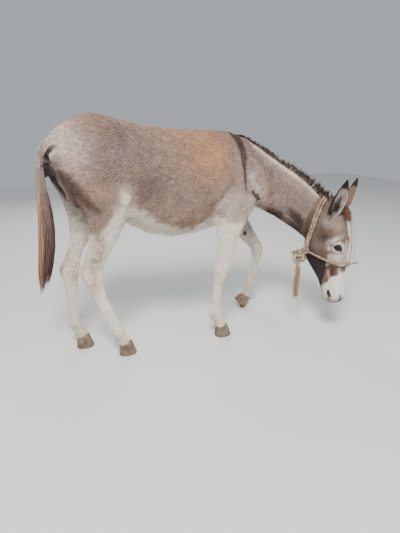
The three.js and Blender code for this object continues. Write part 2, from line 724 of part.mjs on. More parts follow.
const places = {
  trunk: new THREE.Vector3(-40, 0, 800),
  neck: new THREE.Vector3(560, -80, 720),
  head: new THREE.Vector3(740, -220, 430),
};
Object.assign(parts, named(flesh, places));

// A leg is cut below the knee or hock.
const LOWER_CUT = { foreleg_right: 12, foreleg_left: 11.5, hindleg_right: 11.5, hindleg_left: 11.5 };
for (const [name, place] of Object.entries(LOWER_CUT)) {
  const { sections } = legs[name];
  const s = sectionAt(sections, place);
  const normal = new THREE.Vector3().crossVectors(s.up, s.side);
  const cut = block(s.centre.toArray(), [160, 110, GAP], [s.up, s.side, normal]);
  const [upper, lower] = parts[name].subtract(cut).decompose()
    .sort((a, b) => b.volume() - a.volume());
  parts[`${name}_upper`] = upper;
  parts[`${name}_lower`] = lower;
  delete parts[name];
  parts[`${name}_hoof`] = hoof(sections);
}

// ---- colours ----------------------------------------------------------------------
const HAIR = 0x8d7d70;
const DARK_EYE = 0x15100d;
const ROPE = 0xc9a878;
const MANE_HAIR = 0x4a382f;
const FORELOCK_HAIR = 0x6b4030;
const SWITCH_HAIR = 0x6b4a35;
const donkey = new THREE.Group();

function place(name, solid, color, roughness = 0.9) {
  const material = new THREE.MeshStandardMaterial({ color, roughness, metalness: 0 });
  const mesh = new THREE.Mesh(toGeometry(solid), material);
  mesh.name = name;
  donkey.add(mesh);
}

for (const [name, solid] of Object.entries(parts)) place(name, solid, HAIR);
for (const [name, solid] of Object.entries(eyes)) place(name, solid, DARK_EYE, 0.1);
for (const [name, solid] of Object.entries(ropes)) place(name, solid, ROPE);
for (const [name, knot] of Object.entries(knots)) place(name, knot(0), ROPE);

// What stands on the skin is cut clear of it and of the ropes.
const around = [
  loft(TRUNK, { sides: TRUNK_SIDES, grow: GAP }),
  loft(NECK, { sides: NECK_SIDES, grow: GAP }),
  loft(HEAD_SECTIONS, { sides: HEAD_SIDES, grow: GAP }),
];
const clear = (solid, cutters) => cutters.reduce((left, cutter) => left.subtract(cutter), solid);
place('ear_left', clear(ear(1), around), HAIR);
place('ear_right', clear(ear(-1), around), HAIR);
place('tail_dock', clear(loft(tailSections(DOCK), { sides: TAIL_SIDES }), around), HAIR);
place('tail_switch', clear(loft(tailSections(SWITCH), { sides: TAIL_SIDES }),
  [loft(tailSections(DOCK), { sides: TAIL_SIDES, grow: GAP })]), SWITCH_HAIR);
place('mane', clear(loft(maneSections(), { sides: 10 }), [...around, ...channels]), MANE_HAIR);
place('forelock', clear(loft(forelockSections(), { sides: 10 }),
  [...around, loft(maneSections(), { sides: 10, grow: GAP })]), FORELOCK_HAIR);

// A short frayed end hangs free under the right knot: the places of its middle line.
const TAIL_RADIUS = 8;
const TAIL_TOP = bundle.clone().add(new THREE.Vector3(4, -2, -25));
const TAIL_DROPS = [[0, 0, 0], [0, 0, -12], [0, 0, -24], [1, 0, -36], [1, 0, -48],
  [1, 1, -60], [1, 1, -72], [1, 1, -84], [0, 1, -96], [0, 1, -108],
  [0, 0, -120], [-1, 0, -132], [-1, 0, -144], [-1, 0, -156], [-1, 0, -166]];
const tailPlaces = TAIL_DROPS.map((drop) => TAIL_TOP.clone().add(new THREE.Vector3(...drop)));
const tailCurve = new THREE.CatmullRomCurve3(tailPlaces);
place('halter_tail', rope(tailCurve, TAIL_RADIUS, 5, 8), ROPE);

// The frame's origin is the middle of the box's floor.
const box = new THREE.Box3().setFromObject(donkey);
const middle = box.getCenter(new THREE.Vector3());
for (const mesh of donkey.children) mesh.geometry.translate(-middle.x, -middle.y, 0);

export default donkey;
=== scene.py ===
"""A grazing donkey in a rope halter.

One skin stands for the flesh nodes, with lids, nostrils and lips, under a short coat of tufts.
Eyes, hooves, mane, forelock, tail switch and halter are pieces of their own. Metres, +X along
the trunk towards the head, +Y to the animal's left, +Z up.
"""
import json
import math

import bpy
import numpy as np
from mathutils import Matrix, Vector
from mathutils.bvhtree import BVHTree


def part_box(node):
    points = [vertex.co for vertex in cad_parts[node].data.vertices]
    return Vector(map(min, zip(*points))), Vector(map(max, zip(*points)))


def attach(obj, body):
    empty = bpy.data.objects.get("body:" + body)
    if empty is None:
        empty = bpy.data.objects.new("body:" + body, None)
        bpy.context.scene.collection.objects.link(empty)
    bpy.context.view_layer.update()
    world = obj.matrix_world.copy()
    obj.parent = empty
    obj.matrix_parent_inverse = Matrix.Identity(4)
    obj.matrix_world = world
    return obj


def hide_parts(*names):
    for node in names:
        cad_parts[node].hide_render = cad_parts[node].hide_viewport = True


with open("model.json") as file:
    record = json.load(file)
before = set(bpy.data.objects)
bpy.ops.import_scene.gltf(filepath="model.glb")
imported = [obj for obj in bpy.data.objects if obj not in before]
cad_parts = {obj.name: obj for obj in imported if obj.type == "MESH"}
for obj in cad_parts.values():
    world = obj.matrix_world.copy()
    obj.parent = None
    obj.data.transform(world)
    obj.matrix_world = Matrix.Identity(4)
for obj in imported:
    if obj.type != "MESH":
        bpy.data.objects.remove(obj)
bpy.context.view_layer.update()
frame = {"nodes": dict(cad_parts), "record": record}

NODES = frame["nodes"]
MM = 0.001
UP = np.array([0.0, 0.0, 1.0])


# ---- small tools ---------------------------------------------------------------------------
def unit(v):
    v = np.asarray(v, float)
    return v / np.maximum(np.linalg.norm(v, axis=-1, keepdims=True), 1e-12)


def dot(a, b):
    return (np.asarray(a) * np.asarray(b)).sum(-1)


def ramp(x, low, high):
    """0 below low, 1 above high, smooth between; low may be the larger one."""
    t = np.clip((np.asarray(x, float) - low) / (high - low), 0, 1)
    return t * t * (3 - 2 * t)


def hill(x, centre, width):
    return np.exp(-(((np.asarray(x, float) - centre) / width) ** 2))


def table_at(at, stations, table):
    """Each column of a table, whose rows belong to the stations, read at places between them."""
    return np.stack([np.interp(at, stations, column) for column in np.transpose(table)], -1)


def line_distance(places, line):
    """Distance of each place from a line of straight pieces, in as many directions as they have."""
    line = np.array(line, float)
    best = np.full(len(places), np.inf)
    for a, b in zip(line[:-1], line[1:]):
        t = np.clip(((places - a) @ (b - a)) / ((b - a) @ (b - a)), 0, 1)
        best = np.minimum(best, np.linalg.norm(places - a - t[:, None] * (b - a), axis=1))
    return best


def side_distance(points, line):
    """Distance in side view from a line given as (x, z)."""
    return line_distance(points[:, [0, 2]], line)


def box_centre(node):
    low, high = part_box(node)
    return (np.array(low) + np.array(high)) / 2


def curve_points(points, count):
    """count points evenly spaced on a smooth line through the given ones."""
    p = np.asarray(points, float)
    p = np.vstack([2 * p[0] - p[1], p, 2 * p[-1] - p[-2]])
    fine = []
    for i in range(1, len(p) - 2):
        t = np.linspace(0, 1, 24, endpoint=i == len(p) - 3)[:, None]
        a, b, c, d = p[i - 1], p[i], p[i + 1], p[i + 2]
        cubic = (3 * b - a - 3 * c + d) * t**3
        fine.append(0.5 * (2 * b + (c - a) * t + (2 * a - 5 * b + 4 * c - d) * t**2 + cubic))
    fine = np.vstack(fine)
    along = np.concatenate([[0], np.cumsum(np.linalg.norm(np.diff(fine, axis=0), axis=1))])
    return table_at(np.linspace(0, along[-1], count), along, fine)


def make_mesh(name, verts, faces, smooth=True):
    """A mesh from vertices and one array of faces, or several of different sizes."""
    groups = [np.asarray(f, np.int32) for f in (faces if isinstance(faces, list) else [faces])]
    groups = [f for f in groups if len(f)]
    mesh = bpy.data.meshes.new(name)
    mesh.vertices.add(len(verts))
    mesh.vertices.foreach_set("co", np.asarray(verts, np.float32).ravel())
    loops = np.concatenate([f.ravel() for f in groups])
    mesh.loops.add(len(loops))
    mesh.loops.foreach_set("vertex_index", loops)
    sizes = np.concatenate([np.full(len(f), f.shape[1], np.int32) for f in groups])
    mesh.polygons.add(len(sizes))
    mesh.polygons.foreach_set("loop_start", np.concatenate([[0], np.cumsum(sizes)[:-1]]).astype(np.int32))
    mesh.polygons.foreach_set("use_smooth", np.full(len(sizes), smooth))
    mesh.update(calc_edges=True)
    return mesh


def make_piece(name, verts, faces, material, smooth=True):
    piece = bpy.data.objects.new(name, make_mesh(name, verts, faces, smooth))
    bpy.context.scene.collection.objects.link(piece)
    piece.data.materials.append(material)
    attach(piece, "root")
    return piece


def read_mesh(mesh):
    """Vertices and triangles of a mesh."""
    mesh.calc_loop_triangles()
    verts = np.zeros(len(mesh.vertices) * 3, np.float32)
    mesh.vertices.foreach_get("co", verts)
    tris = np.zeros(len(mesh.loop_triangles) * 3, np.int32)
    mesh.loop_triangles.foreach_get("vertices", tris)
    return verts.reshape(-1, 3).astype(float), tris.reshape(-1, 3)


def evaluated(verts, tris, set_up):
    """The triangles that a temporary object has after set_up(object) gives it modifiers."""
    temporary = bpy.data.objects.new("temporary", make_mesh("temporary", verts, tris, False))
    bpy.context.scene.collection.objects.link(temporary)
    helpers = set_up(temporary) or []
    bpy.context.view_layer.update()
    result = temporary.evaluated_get(bpy.context.evaluated_depsgraph_get())
    mesh = result.to_mesh()
    out = read_mesh(mesh)
    result.to_mesh_clear()
    for thing in [temporary] + helpers:
        data = thing.data
        bpy.data.objects.remove(thing)
        bpy.data.meshes.remove(data)
    return out


def remeshed(verts, tris, size):
    def set_up(thing):
        modifier = thing.modifiers.new("remesh", "REMESH")
        modifier.mode = "VOXEL"
        modifier.voxel_size = size

    return evaluated(verts, tris, set_up)


def united(verts, tris, others):
    """The union of a closed mesh with other closed meshes."""

    def set_up(thing):
        helpers = []
        for k, (v, t) in enumerate(others):
            helper = bpy.data.objects.new("helper", make_mesh("helper", v, t, False))
            bpy.context.scene.collection.objects.link(helper)
            modifier = thing.modifiers.new("union%d" % k, "BOOLEAN")
            modifier.operation = "UNION"
            modifier.solver = "MANIFOLD"
            modifier.object = helper
            helpers.append(helper)
        return helpers

    return evaluated(verts, tris, set_up)


def edges_of(tris):
    pairs = np.sort(np.concatenate([tris[:, [0, 1]], tris[:, [1, 2]], tris[:, [2, 0]]]), axis=1)
    return np.unique(pairs, axis=0)


def spread(values, edges, rounds, weight=1.0, back=0.0):
    """Values averaged with their neighbours' along the edges; back undoes the shrinking."""
    values = np.array(values, float)
    flat = values.reshape(len(values), -1)
    a, b = edges.T
    count = np.maximum(np.bincount(a, minlength=len(flat)) + np.bincount(b, minlength=len(flat)), 1)
    weight = np.broadcast_to(weight, len(flat))
    for _ in range(rounds):
        for step in (0.5, back) if back else (0.5,):
            for k in range(flat.shape[1]):
                column = flat[:, k]
                near = np.bincount(a, column[b], len(flat)) + np.bincount(b, column[a], len(flat))
                flat[:, k] = column + step * weight * (near / count - column)
    return flat.reshape(values.shape)


def normals_of(verts, tris):
    a, b, c = verts[tris[:, 0]], verts[tris[:, 1]], verts[tris[:, 2]]
    face = np.cross(b - a, c - a)
    out = [sum(np.bincount(tris[:, j], face[:, k], len(verts)) for j in range(3)) for k in range(3)]
    return unit(np.stack(out, 1))


def largest_body(verts, tris):
    label = np.arange(len(verts))
    edges = edges_of(tris)
    while True:
        low = np.minimum(label[edges[:, 0]], label[edges[:, 1]])
        new = label.copy()
        np.minimum.at(new, edges[:, 0], low)
        np.minimum.at(new, edges[:, 1], low)
        new = new[new]
        if (new == label).all():
            break
        label = new
    keep = label == np.bincount(label).argmax()
    index = np.cumsum(keep) - 1
    return verts[keep], index[tris[keep[tris[:, 0]]]]


def refined(verts, tris, chosen):
    """Splits the chosen triangles in four, and their neighbours to match."""
    pairs = np.sort(tris[:, [[0, 1], [1, 2], [2, 0]]].reshape(-1, 2), axis=1)
    edges, which = np.unique(pairs, axis=0, return_inverse=True)
    which = which.reshape(-1, 3)
    split = np.zeros(len(edges), bool)
    split[which[chosen]] = True
    middle = np.full(len(edges), -1)
    middle[split] = len(verts) + np.arange(split.sum())
    verts = np.vstack([verts, verts[edges[split]].mean(1)])
    # each triangle as its corners 0, 1, 2 and the middles 3, 4, 5 of its edges
    six = np.hstack([tris, middle[which]])
    cut = split[which]
    count = cut.sum(1)
    out = [tris[count == 0]]
    out += [six[count == 3][:, corners] for corners in ((0, 3, 5), (3, 1, 4), (5, 4, 2), (3, 4, 5))]
    for turn in range(3):
        order = [turn, (turn + 1) % 3, (turn + 2) % 3]
        turned = six[:, order + [3 + k for k in order]]
        one = turned[(count == 1) & cut[:, order[0]]]
        two = turned[(count == 2) & cut[:, order[0]] & cut[:, order[1]]]
        out += [one[:, corners] for corners in ((0, 3, 2), (3, 1, 2))]
        out += [two[:, corners] for corners in ((3, 1, 4), (0, 3, 4), (0, 4, 2))]
    return verts, np.vstack(out)


# ---- the head's own directions, as the solids have them ------------------------------------------
FACE_AZIMUTH = math.radians(-59)
FACE_TURN = math.radians(-28)  # how much further the lips turn than the brow
TURN_AXIS = -75 * MM
HEAD_DOWN = unit([0.035, -0.12, -1])
EYE = (160 * MM, 51 * MM, -13 * MM)  # below the poll, out from the middle, behind the face line
EYE_RADIUS = 19.5 * MM
poll = np.array([771, -282, 624]) * MM


def head_axes(down):
    azimuth = FACE_AZIMUTH + FACE_TURN * ramp(down, 175 * MM, 405 * MM)
    face = np.stack([np.cos(azimuth), np.sin(azimuth), np.zeros_like(azimuth)], -1)
    face = unit(face - dot(face, HEAD_DOWN)[..., None] * HEAD_DOWN)
    return face, np.cross(face, HEAD_DOWN)


def head_point(down, across, out):
    down, across, out = (np.asarray(v, float)[..., None] for v in np.broadcast_arrays(down, across, out))
    start, _ = head_axes(np.zeros(1))
    face, side = head_axes(down[..., 0])
    return poll + HEAD_DOWN * down + start[0] * TURN_AXIS + side * across + face * (out - TURN_AXIS)


def head_place(points):
    """Distance below the poll, to the left, and in front of the face line, for each point."""
    away = points - poll
    down = dot(away, HEAD_DOWN)
    start, _ = head_axes(np.zeros(1))
    face, side = head_axes(down)
    away = away - start[0] * TURN_AXIS
    return down, dot(away, side), dot(away, face) + TURN_AXIS


# The solids are centred in their box: an eye tells by how much.
SHIFT = box_centre("eye_right") - head_point(EYE[0], -EYE[1], EYE[2])
poll = poll + SHIFT


def head_numbers(points):
    """Each point's place on the head in millimetres, the same on both sides."""
    down, across, out = head_place(points)
    return np.stack([down, np.abs(across), out], 1) / MM


# ---- camera, floor and light -----------------------------------------------------------------
def look_along(yaw, pitch):
    """Rotation of something that looks yaw degrees left of +Y and pitch degrees down."""
    y, p = math.radians(yaw), math.radians(pitch)
    ahead = np.array([-math.sin(y) * math.cos(p), math.cos(y) * math.cos(p), -math.sin(p)])
    right = np.array([math.cos(y), math.sin(y), 0])
    return Matrix(np.stack([right, np.cross(right, ahead), -ahead], 1).tolist()).to_4x4()


CAMERA_PLACE = np.array([-0.571, -1.772, 1.011])  # from the solids' own origin
PHOTO_HEIGHT, FOCAL_PIXELS, SENSOR = 533, 400, 36
camera = bpy.data.objects.new("camera", bpy.data.cameras.new("camera"))
bpy.context.scene.collection.objects.link(camera)
camera.matrix_world = Matrix.Translation(CAMERA_PLACE + SHIFT) @ look_along(-22, 19.2)
camera.data.sensor_width = SENSOR
camera.data.lens = SENSOR * FOCAL_PIXELS / PHOTO_HEIGHT
bpy.context.scene.camera = camera

FLOOR_HALF = 6
corners = FLOOR_HALF * np.array([[-1, -1, 0], [1, -1, 0], [1, 1, 0], [-1, 1, 0]])
floor = bpy.data.objects.new("floor", make_mesh("floor", corners, np.array([[0, 1, 2, 3]]), False))
bpy.context.scene.collection.objects.link(floor)


def new_material(name, roughness):
    """A material, its node tree and its shader."""
    material = bpy.data.materials.new(name)
    material.use_nodes = True
    shader = material.node_tree.nodes["Principled BSDF"]
    shader.inputs["Roughness"].default_value = roughness
    return material, material.node_tree, shader


floor_material, _, floor_shader = new_material("floor_pale", 0.9)
floor_shader.inputs["Base Color"].default_value = (0.72, 0.72, 0.7, 1)
floor.data.materials.append(floor_material)
world = bpy.data.worlds.new("studio")
bpy.context.scene.world = world
world.use_nodes = True
world.node_tree.nodes["Background"].inputs["Color"].default_value = (0.86, 0.93, 1, 1)
world.node_tree.nodes["Background"].inputs["Strength"].default_value = 0.5


def area_light(name, place, target, size, power, colour):
    light = bpy.data.objects.new(name, bpy.data.lights.new(name, "AREA"))
    bpy.context.scene.collection.objects.link(light)
    light.data.size = size
    light.data.energy = power
    light.data.color = colour
    aim = Vector(target) - Vector(place)
    light.matrix_world = Matrix.Translation(place) @ aim.to_track_quat("-Z", "Y").to_matrix().to_4x4()


area_light("key", (-1.2, -2.4, 3.6), (0, 0, 0.6), 1.2, 265, (1, 0.96, 0.9))
area_light("fill", (2.8, -2.2, 1.8), (0.2, 0, 0.6), 2.4, 35, (0.9, 0.95, 1))
area_light("back", (0.4, 3.2, 2.6), (0, 0, 0.7), 2.0, 60, (1, 1, 1))

# ---- the halter's free end, in the place of its solid ------------------------------------------------
KNOT = (179 * MM, 44 * MM, -176 * MM)
KNOT_RIGHT = head_point(KNOT[0], -KNOT[1], KNOT[2])
KNOT_LEFT = head_point(KNOT[0], KNOT[1], KNOT[2])
BUNDLE = KNOT_RIGHT + np.array([-34, 14, -42]) * MM
TAIL_RADIUS = 8 * MM
TAIL_TOP = BUNDLE + np.array([4, -2, -25]) * MM
TAIL_DROPS = [[0, 0, 0], [0, 0, -12], [0, 0, -24], [1, 0, -36], [1, 0, -48], [1, 1, -60], [1, 1, -72],
              [1, 1, -84], [0, 1, -96], [0, 1, -108], [0, 0, -120], [-1, 0, -132], [-1, 0, -144],
              [-1, 0, -156], [-1, 0, -166]]
TAIL_LINE = TAIL_TOP + np.array(TAIL_DROPS) * MM


def frames_along(line):
    """Two directions square to a line at each of its points, turning as little as they can."""
    ahead = unit(np.gradient(line, axis=0))
    first = unit(np.cross(ahead[0], UP if abs(ahead[0][2]) < 0.9 else np.array([1.0, 0, 0])))
    across = [first]
    for a in ahead[1:]:
        across.append(unit(across[-1] - dot(across[-1], a) * a))
    across = np.array(across)
    return across, np.cross(ahead, across)


def ring_faces(rings, sides):
    """Faces of a closed surface of rings, whose two end points come after them."""
    i = np.arange(rings - 1)[:, None] * sides
    j = np.arange(sides)[None]
    k = (j + 1) % sides
    quads = np.stack(np.broadcast_arrays(i + j, i + k, i + sides + k, i + sides + j), -1)
    j, k, last = j[0], k[0], (rings - 1) * sides
    low = np.stack([np.full(sides, rings * sides), k, j], 1)
    high = np.stack([np.full(sides, rings * sides + 1), last + j, last + k], 1)
    return [quads.reshape(-1, 4), np.vstack([low, high])]


def tube(line, radius, sides):
    """Vertices and faces of a closed tube."""
    u, v = frames_along(line)
    angle = np.linspace(0, 2 * math.pi, sides, endpoint=False)[None, :, None]
    rings = line[:, None] + radius * (u[:, None] * np.cos(angle) + v[:, None] * np.sin(angle))
    return np.vstack([rings.reshape(-1, 3), line[:1], line[-1:]]), ring_faces(len(line), sides)


def joined(parts):
    """Several (vertices, [arrays of faces]) as one."""
    verts, faces, start = [], {}, 0
    for v, groups in parts:
        verts.append(v)
        for f in groups if isinstance(groups, list) else [groups]:
            faces.setdefault(f.shape[1], []).append(f + start)
        start += len(v)
    return np.vstack(verts), [np.vstack(f) for f in faces.values()]


def twisted(line, radius, lay, strands=3, sides=8, step=0.0016):
    """A laid rope: strands that wind round a line, once in each length of lay."""
    length = np.linalg.norm(np.diff(line, axis=0), axis=1).sum()
    line = curve_points(line, max(int(length / step), 6))
    u, v = frames_along(line)
    along = np.linspace(0, length, len(line))
    parts = []
    for s in range(strands):
        turn = (2 * math.pi * (s / strands + along / lay))[:, None]
        path = line + 0.5 * radius * (u * np.cos(turn) + v * np.sin(turn))
        parts.append(tube(path, 0.52 * radius, sides))
    return joined(parts)


def object_noise(tree, scale, detail):
    """A noise texture in the object's own metres."""
    coordinates = tree.nodes.new("ShaderNodeTexCoord")
    noise = tree.nodes.new("ShaderNodeTexNoise")
    noise.inputs["Scale"].default_value = scale
    noise.inputs["Detail"].default_value = detail
    tree.links.new(coordinates.outputs["Object"], noise.inputs["Vector"])
    return noise


def add_bump(tree, shader, scale, strength, distance):
    bump = tree.nodes.new("ShaderNodeBump")
    bump.inputs["Strength"].default_value = strength
    bump.inputs["Distance"].default_value = distance
    tree.links.new(object_noise(tree, scale, 4.0).outputs["Fac"], bump.inputs["Height"])
    tree.links.new(bump.outputs["Normal"], shader.inputs["Normal"])


def mottled_material(name, colours, scale, roughness, bump):
    """Noise between several colours, at one scale; bump is its scale, strength and depth."""
    material, tree, shader = new_material(name, roughness)
    ramp_node = tree.nodes.new("ShaderNodeValToRGB")
    stops = ramp_node.color_ramp.elements
    while len(stops) < len(colours):
        stops.new(0.5)
    for stop, place, colour in zip(stops, np.linspace(0.3, 0.7, len(colours)), colours):
        stop.position = place
        stop.color = (*colour, 1)
    tree.links.new(object_noise(tree, scale, 6.0).outputs["Fac"], ramp_node.inputs["Fac"])
    tree.links.new(ramp_node.outputs["Color"], shader.inputs["Base Color"])
    add_bump(tree, shader, *bump)
    return material


ROPE_COLOURS = [(0.30, 0.21, 0.12), (0.52, 0.39, 0.24), (0.70, 0.57, 0.38)]
ROPE_LAY, TAIL_LAY = 24 * MM, 42 * MM
rope_material = mottled_material("rope_fibre", ROPE_COLOURS, 160.0, 0.85, (900.0, 0.5, 0.0006))

tail_verts, tail_faces = twisted(TAIL_LINE, TAIL_RADIUS * 1.12, TAIL_LAY, sides=10)
halter_tail = make_piece("halter_tail_rope", tail_verts, tail_faces, rope_material)
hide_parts("halter_tail")

# ---- skin: one surface round the flesh ------------------------------------------------------------
SKIN_CELL = 7.5 * MM
EARS = ["ear_left", "ear_right"]
FLESH = [s["node"] for s in frame["record"]["subparts"]
         if s["material_slot"] == "coat" and s["node"] not in EARS]
MIDDLE = SHIFT[1]  # the body's middle plane


def nodes_together(names):
    verts, tris, owner, start = [], [], [], 0
    for k, name in enumerate(names):
        v, t = read_mesh(NODES[name].data)
        verts.append(v)
        tris.append(t + start)
        owner.append(np.full(len(t), k))
        start += len(v)
    return np.vstack(verts), np.vstack(tris), np.concatenate(owner)


cad_verts, cad_tris, cad_owner = nodes_together(FLESH)
cad_tree = BVHTree.FromPolygons(cad_verts.tolist(), cad_tris.tolist())


def owner_of(points):
    return np.array([cad_owner[cad_tree.find_nearest(p)[2]] for p in points])


def is_in(owner, *words):
    wanted = [k for k, name in enumerate(FLESH) if any(w in name for w in words)]
    return np.isin(owner, wanted).astype(float)


whole_verts, whole_tris, _ = nodes_together(FLESH + ["eye_left", "eye_right"])
verts, tris = largest_body(*remeshed(whole_verts, whole_tris, SKIN_CELL))
edges = edges_of(tris)
owner = owner_of(verts)
bulk = spread(is_in(owner, "trunk", "neck", "upper"), edges, 12)
bulk *= ramp(verts[:, 2], 0.38, 0.5)
verts = spread(verts, edges, 10, back=-0.52)
verts = spread(verts, edges, 70, weight=bulk, back=-0.515)


# ---- muscle and bone under the skin ------------------------------------------------------------------
def lump(points, centre, radii, height):
    """How far a soft swelling lifts each point; both sides get it, mirrored in the middle plane."""
    away = points - np.array([0, MIDDLE, 0])
    away = np.stack([away[:, 0], np.abs(away[:, 1]), away[:, 2]], 1) - np.array(centre)
    return height * np.exp(-((away / np.array(radii)) ** 2).sum(1))


def crease(points, line, width, height):
    """A ridge (or groove) along a line drawn in side view."""
    return height * hill(side_distance(points, line), 0, width)


side_on = normals_of(verts, tris)
outer = ramp(np.abs(side_on[:, 1]), 0.25, 0.6)
outer *= ramp((verts[:, 1] - MIDDLE) * side_on[:, 1], 0.0, 0.03)
trunk_part = spread(is_in(owner, "trunk", "upper"), edges, 6)
SWELLINGS = [  # centre (its y from the middle plane), radii and height
    ((-0.385, 0.145, 0.985), (0.05, 0.05, 0.04), 0.008),  # point of the hip
    ((-0.31, 0.17, 0.90), (0.06, 0.05, 0.06), -0.008),  # hollow of the flank
    ((-0.60, 0.06, 0.90), (0.04, 0.04, 0.05), 0.006),  # seat bone
    ((-0.375, 0.16, 0.70), (0.045, 0.05, 0.05), 0.007),  # stifle
    ((0.14, 0.14, 0.70), (0.07, 0.05, 0.06), 0.007),  # upper arm
    ((0.31, 0.12, 0.73), (0.035, 0.05, 0.045), 0.007),  # point of the shoulder
]
FOLDS = [  # line in side view, width and height
    ([(-0.335, 0.68), (-0.315, 0.74), (-0.30, 0.82)], 0.016, -0.007),
    ([(0.155, 0.79), (0.10, 0.73), (0.04, 0.68), (0.015, 0.63)], 0.014, -0.005),
    ([(0.27, 0.87), (0.30, 0.80), (0.325, 0.72)], 0.012, 0.005),
    ([(0.335, 0.86), (0.35, 0.78), (0.352, 0.70)], 0.014, -0.006),
    ([(-0.52, 0.84), (-0.49, 0.76), (-0.48, 0.68)], 0.02, -0.005),
]
lift = sum(lump(verts, *row) for row in SWELLINGS)
lift += outer * trunk_part * sum(crease(verts, *row) for row in FOLDS)
# the legs' joints, as (x, z, distance from the middle plane) in the solids' own millimetres
KNEES = [(206, 338, -113), (545, 354, 129)]
HOCKS = [(-397, 392, -94), (-472, 378, 86)]
FETLOCKS = [(182, 126, -109), (520, 148, 145), (-305, 122, -101), (-481, 122, 49)]


def joint(place):
    return np.array([place[0], place[2], place[1]]) * MM + SHIFT


def knob(centre, offset, radii, height):
    """How far a swelling beside a joint lifts each point; all in millimetres."""
    away = (verts - centre - np.array(offset) * MM) / (np.array(radii) * MM)
    return height * MM * np.exp(-(away**2).sum(1))


def tendon_groove(upper, lower):
    line = [(upper[0] - 9 * MM, upper[2] - 60 * MM), (lower[0] - 9 * MM, lower[2] + 32 * MM)]
    near = (np.abs(verts[:, 1] - (upper[1] + lower[1]) / 2) < 0.05) * ramp(np.abs(side_on[:, 1]), 0.4, 0.8)
    return near * crease(verts, line, 0.008, -0.0028)


# beside each kind of joint: offset, radii and height of swellings and hollows
KNEE_KNOBS = [((20, 0, 4), (26, 40, 26), 4), ((-32, 0, 26), (13, 20, 18), 6),
              ((0, 0, 66), (50, 50, 20), -2), ((0, 0, -46), (50, 50, 18), -2)]
HOCK_KNOBS = [((-44, 0, 10), (20, 24, 24), 4.5), ((-18, 0, 62), (13, 50, 34), -4),
              ((12, 0, -22), (24, 40, 24), 3), ((0, 0, -72), (40, 40, 24), -2)]
FETLOCK_KNOBS = [((-26, 0, -4), (15, 22, 17), 5), ((0, 0, 0), (22, 40, 18), 1.5),
                 ((12, 0, -38), (32, 40, 13), -2)]
for places, knobs in ((KNEES, KNEE_KNOBS), (HOCKS, HOCK_KNOBS), (FETLOCKS, FETLOCK_KNOBS)):
    for place in places:
        lift += sum(knob(joint(place), *row) for row in knobs)
for upper, lower in zip(KNEES + HOCKS, FETLOCKS):
    lift += tendon_groove(joint(upper), joint(lower))
RIB_PITCH = 0.048
ribs = 0.0009 * np.cos((verts[:, 0] + 0.12 * verts[:, 2]) * 2 * math.pi / RIB_PITCH)
ribs *= ramp(verts[:, 0], -0.27, -0.18) * ramp(verts[:, 0], 0.08, 0.0) * hill(verts[:, 2], 0.78, 0.12)
verts = verts + side_on * (lift + ribs * outer)[:, None]

# The right leg stands forward, so that buttock's rear edge does too, and a cleft shows beside it.
REAR_LINE = np.array([[0.66, -0.565], [0.70, -0.585], [0.75, -0.600], [0.80, -0.620], [0.87, -0.645],
                      [0.95, -0.655]])  # z, x


def before_rear(points):
    """Distance in front of the buttocks' rear line."""
    return points[:, 0] - np.interp(points[:, 2], REAR_LINE[:, 0], REAR_LINE[:, 1])


right_of = MIDDLE - verts[:, 1]
high = ramp(verts[:, 2], 0.68, 0.76) * ramp(verts[:, 2], 0.925, 0.87) * (1 - is_in(owner, "tail"))
push = 0.026 * ramp(right_of, 0.0, 0.024) + 0.018 * hill(right_of, 0.0, 0.012)
near_rear = np.maximum(before_rear(verts), 0)
verts[:, 0] += high * push * hill(near_rear, 0, 0.07)
near_cleft = high * hill(before_rear(verts), 0, 0.08) * hill(right_of, 0, 0.05)
verts = spread(verts, edges, 5, weight=near_cleft, back=-0.52)
DOCK_LINE = np.array([[0.725, -0.6745], [0.82, -0.6745], [0.872, -0.6685], [0.915, -0.6555],
                      [0.948, -0.6315]])  # z, x


def before_dock(points):
    """How far in front of the dock's middle line."""
    return points[:, 0] - np.interp(points[:, 2], DOCK_LINE[:, 0], DOCK_LINE[:, 1])


web = hill(before_dock(verts), 0.024, 0.011) * ramp(verts[:, 2], 0.955, 0.925) * ramp(verts[:, 2], 0.78, 0.81)
verts[:, 1] = MIDDLE + (verts[:, 1] - MIDDLE) * (1 - 0.7 * web)


# ---- ears ------------------------------------------------------------------------------------------
# share of the length, half-width, depth behind the widest line: as the solids have them
EAR = np.array([[0, 18, 17], [0.14, 26, 23], [0.3, 31, 24], [0.46, 32, 21], [0.62, 28, 16],
                [0.76, 22, 12], [0.88, 14, 8], [0.96, 7, 5], [1, 3, 3]], float)
EAR_LENGTH = 202 * MM
EAR_LEAN = (-0.93, 0.17, 0.46)  # up, outward, forward
EAR_OPENING = math.radians(48)
EAR_ROOT = (24 * MM, 42 * MM, -50 * MM)
EAR_BULGE = 9 * MM  # how far the ear's middle bows towards its opening


def ear_frame(hand):
    face, side = (v[0] for v in head_axes(np.zeros(1)))
    along = unit(HEAD_DOWN * EAR_LEAN[0] + side * hand * EAR_LEAN[1] + face * EAR_LEAN[2])
    opening = face * math.cos(EAR_OPENING) + side * hand * math.sin(EAR_OPENING)
    opening = unit(opening - dot(opening, along) * along)
    return head_point(EAR_ROOT[0], hand * EAR_ROOT[1], EAR_ROOT[2]), along, opening, np.cross(along, -opening)


def ear_size(share):
    """The ear's half-width, and its depth behind its widest line."""
    return [np.interp(share, EAR[:, 0], EAR[:, k]) * MM for k in (1, 2)]


def ear_bow(share):
    """How far the ear's middle lies towards its opening from a straight line."""
    return (EAR_BULGE * np.sin(math.pi * np.clip(share, 0, 1)))[..., None]


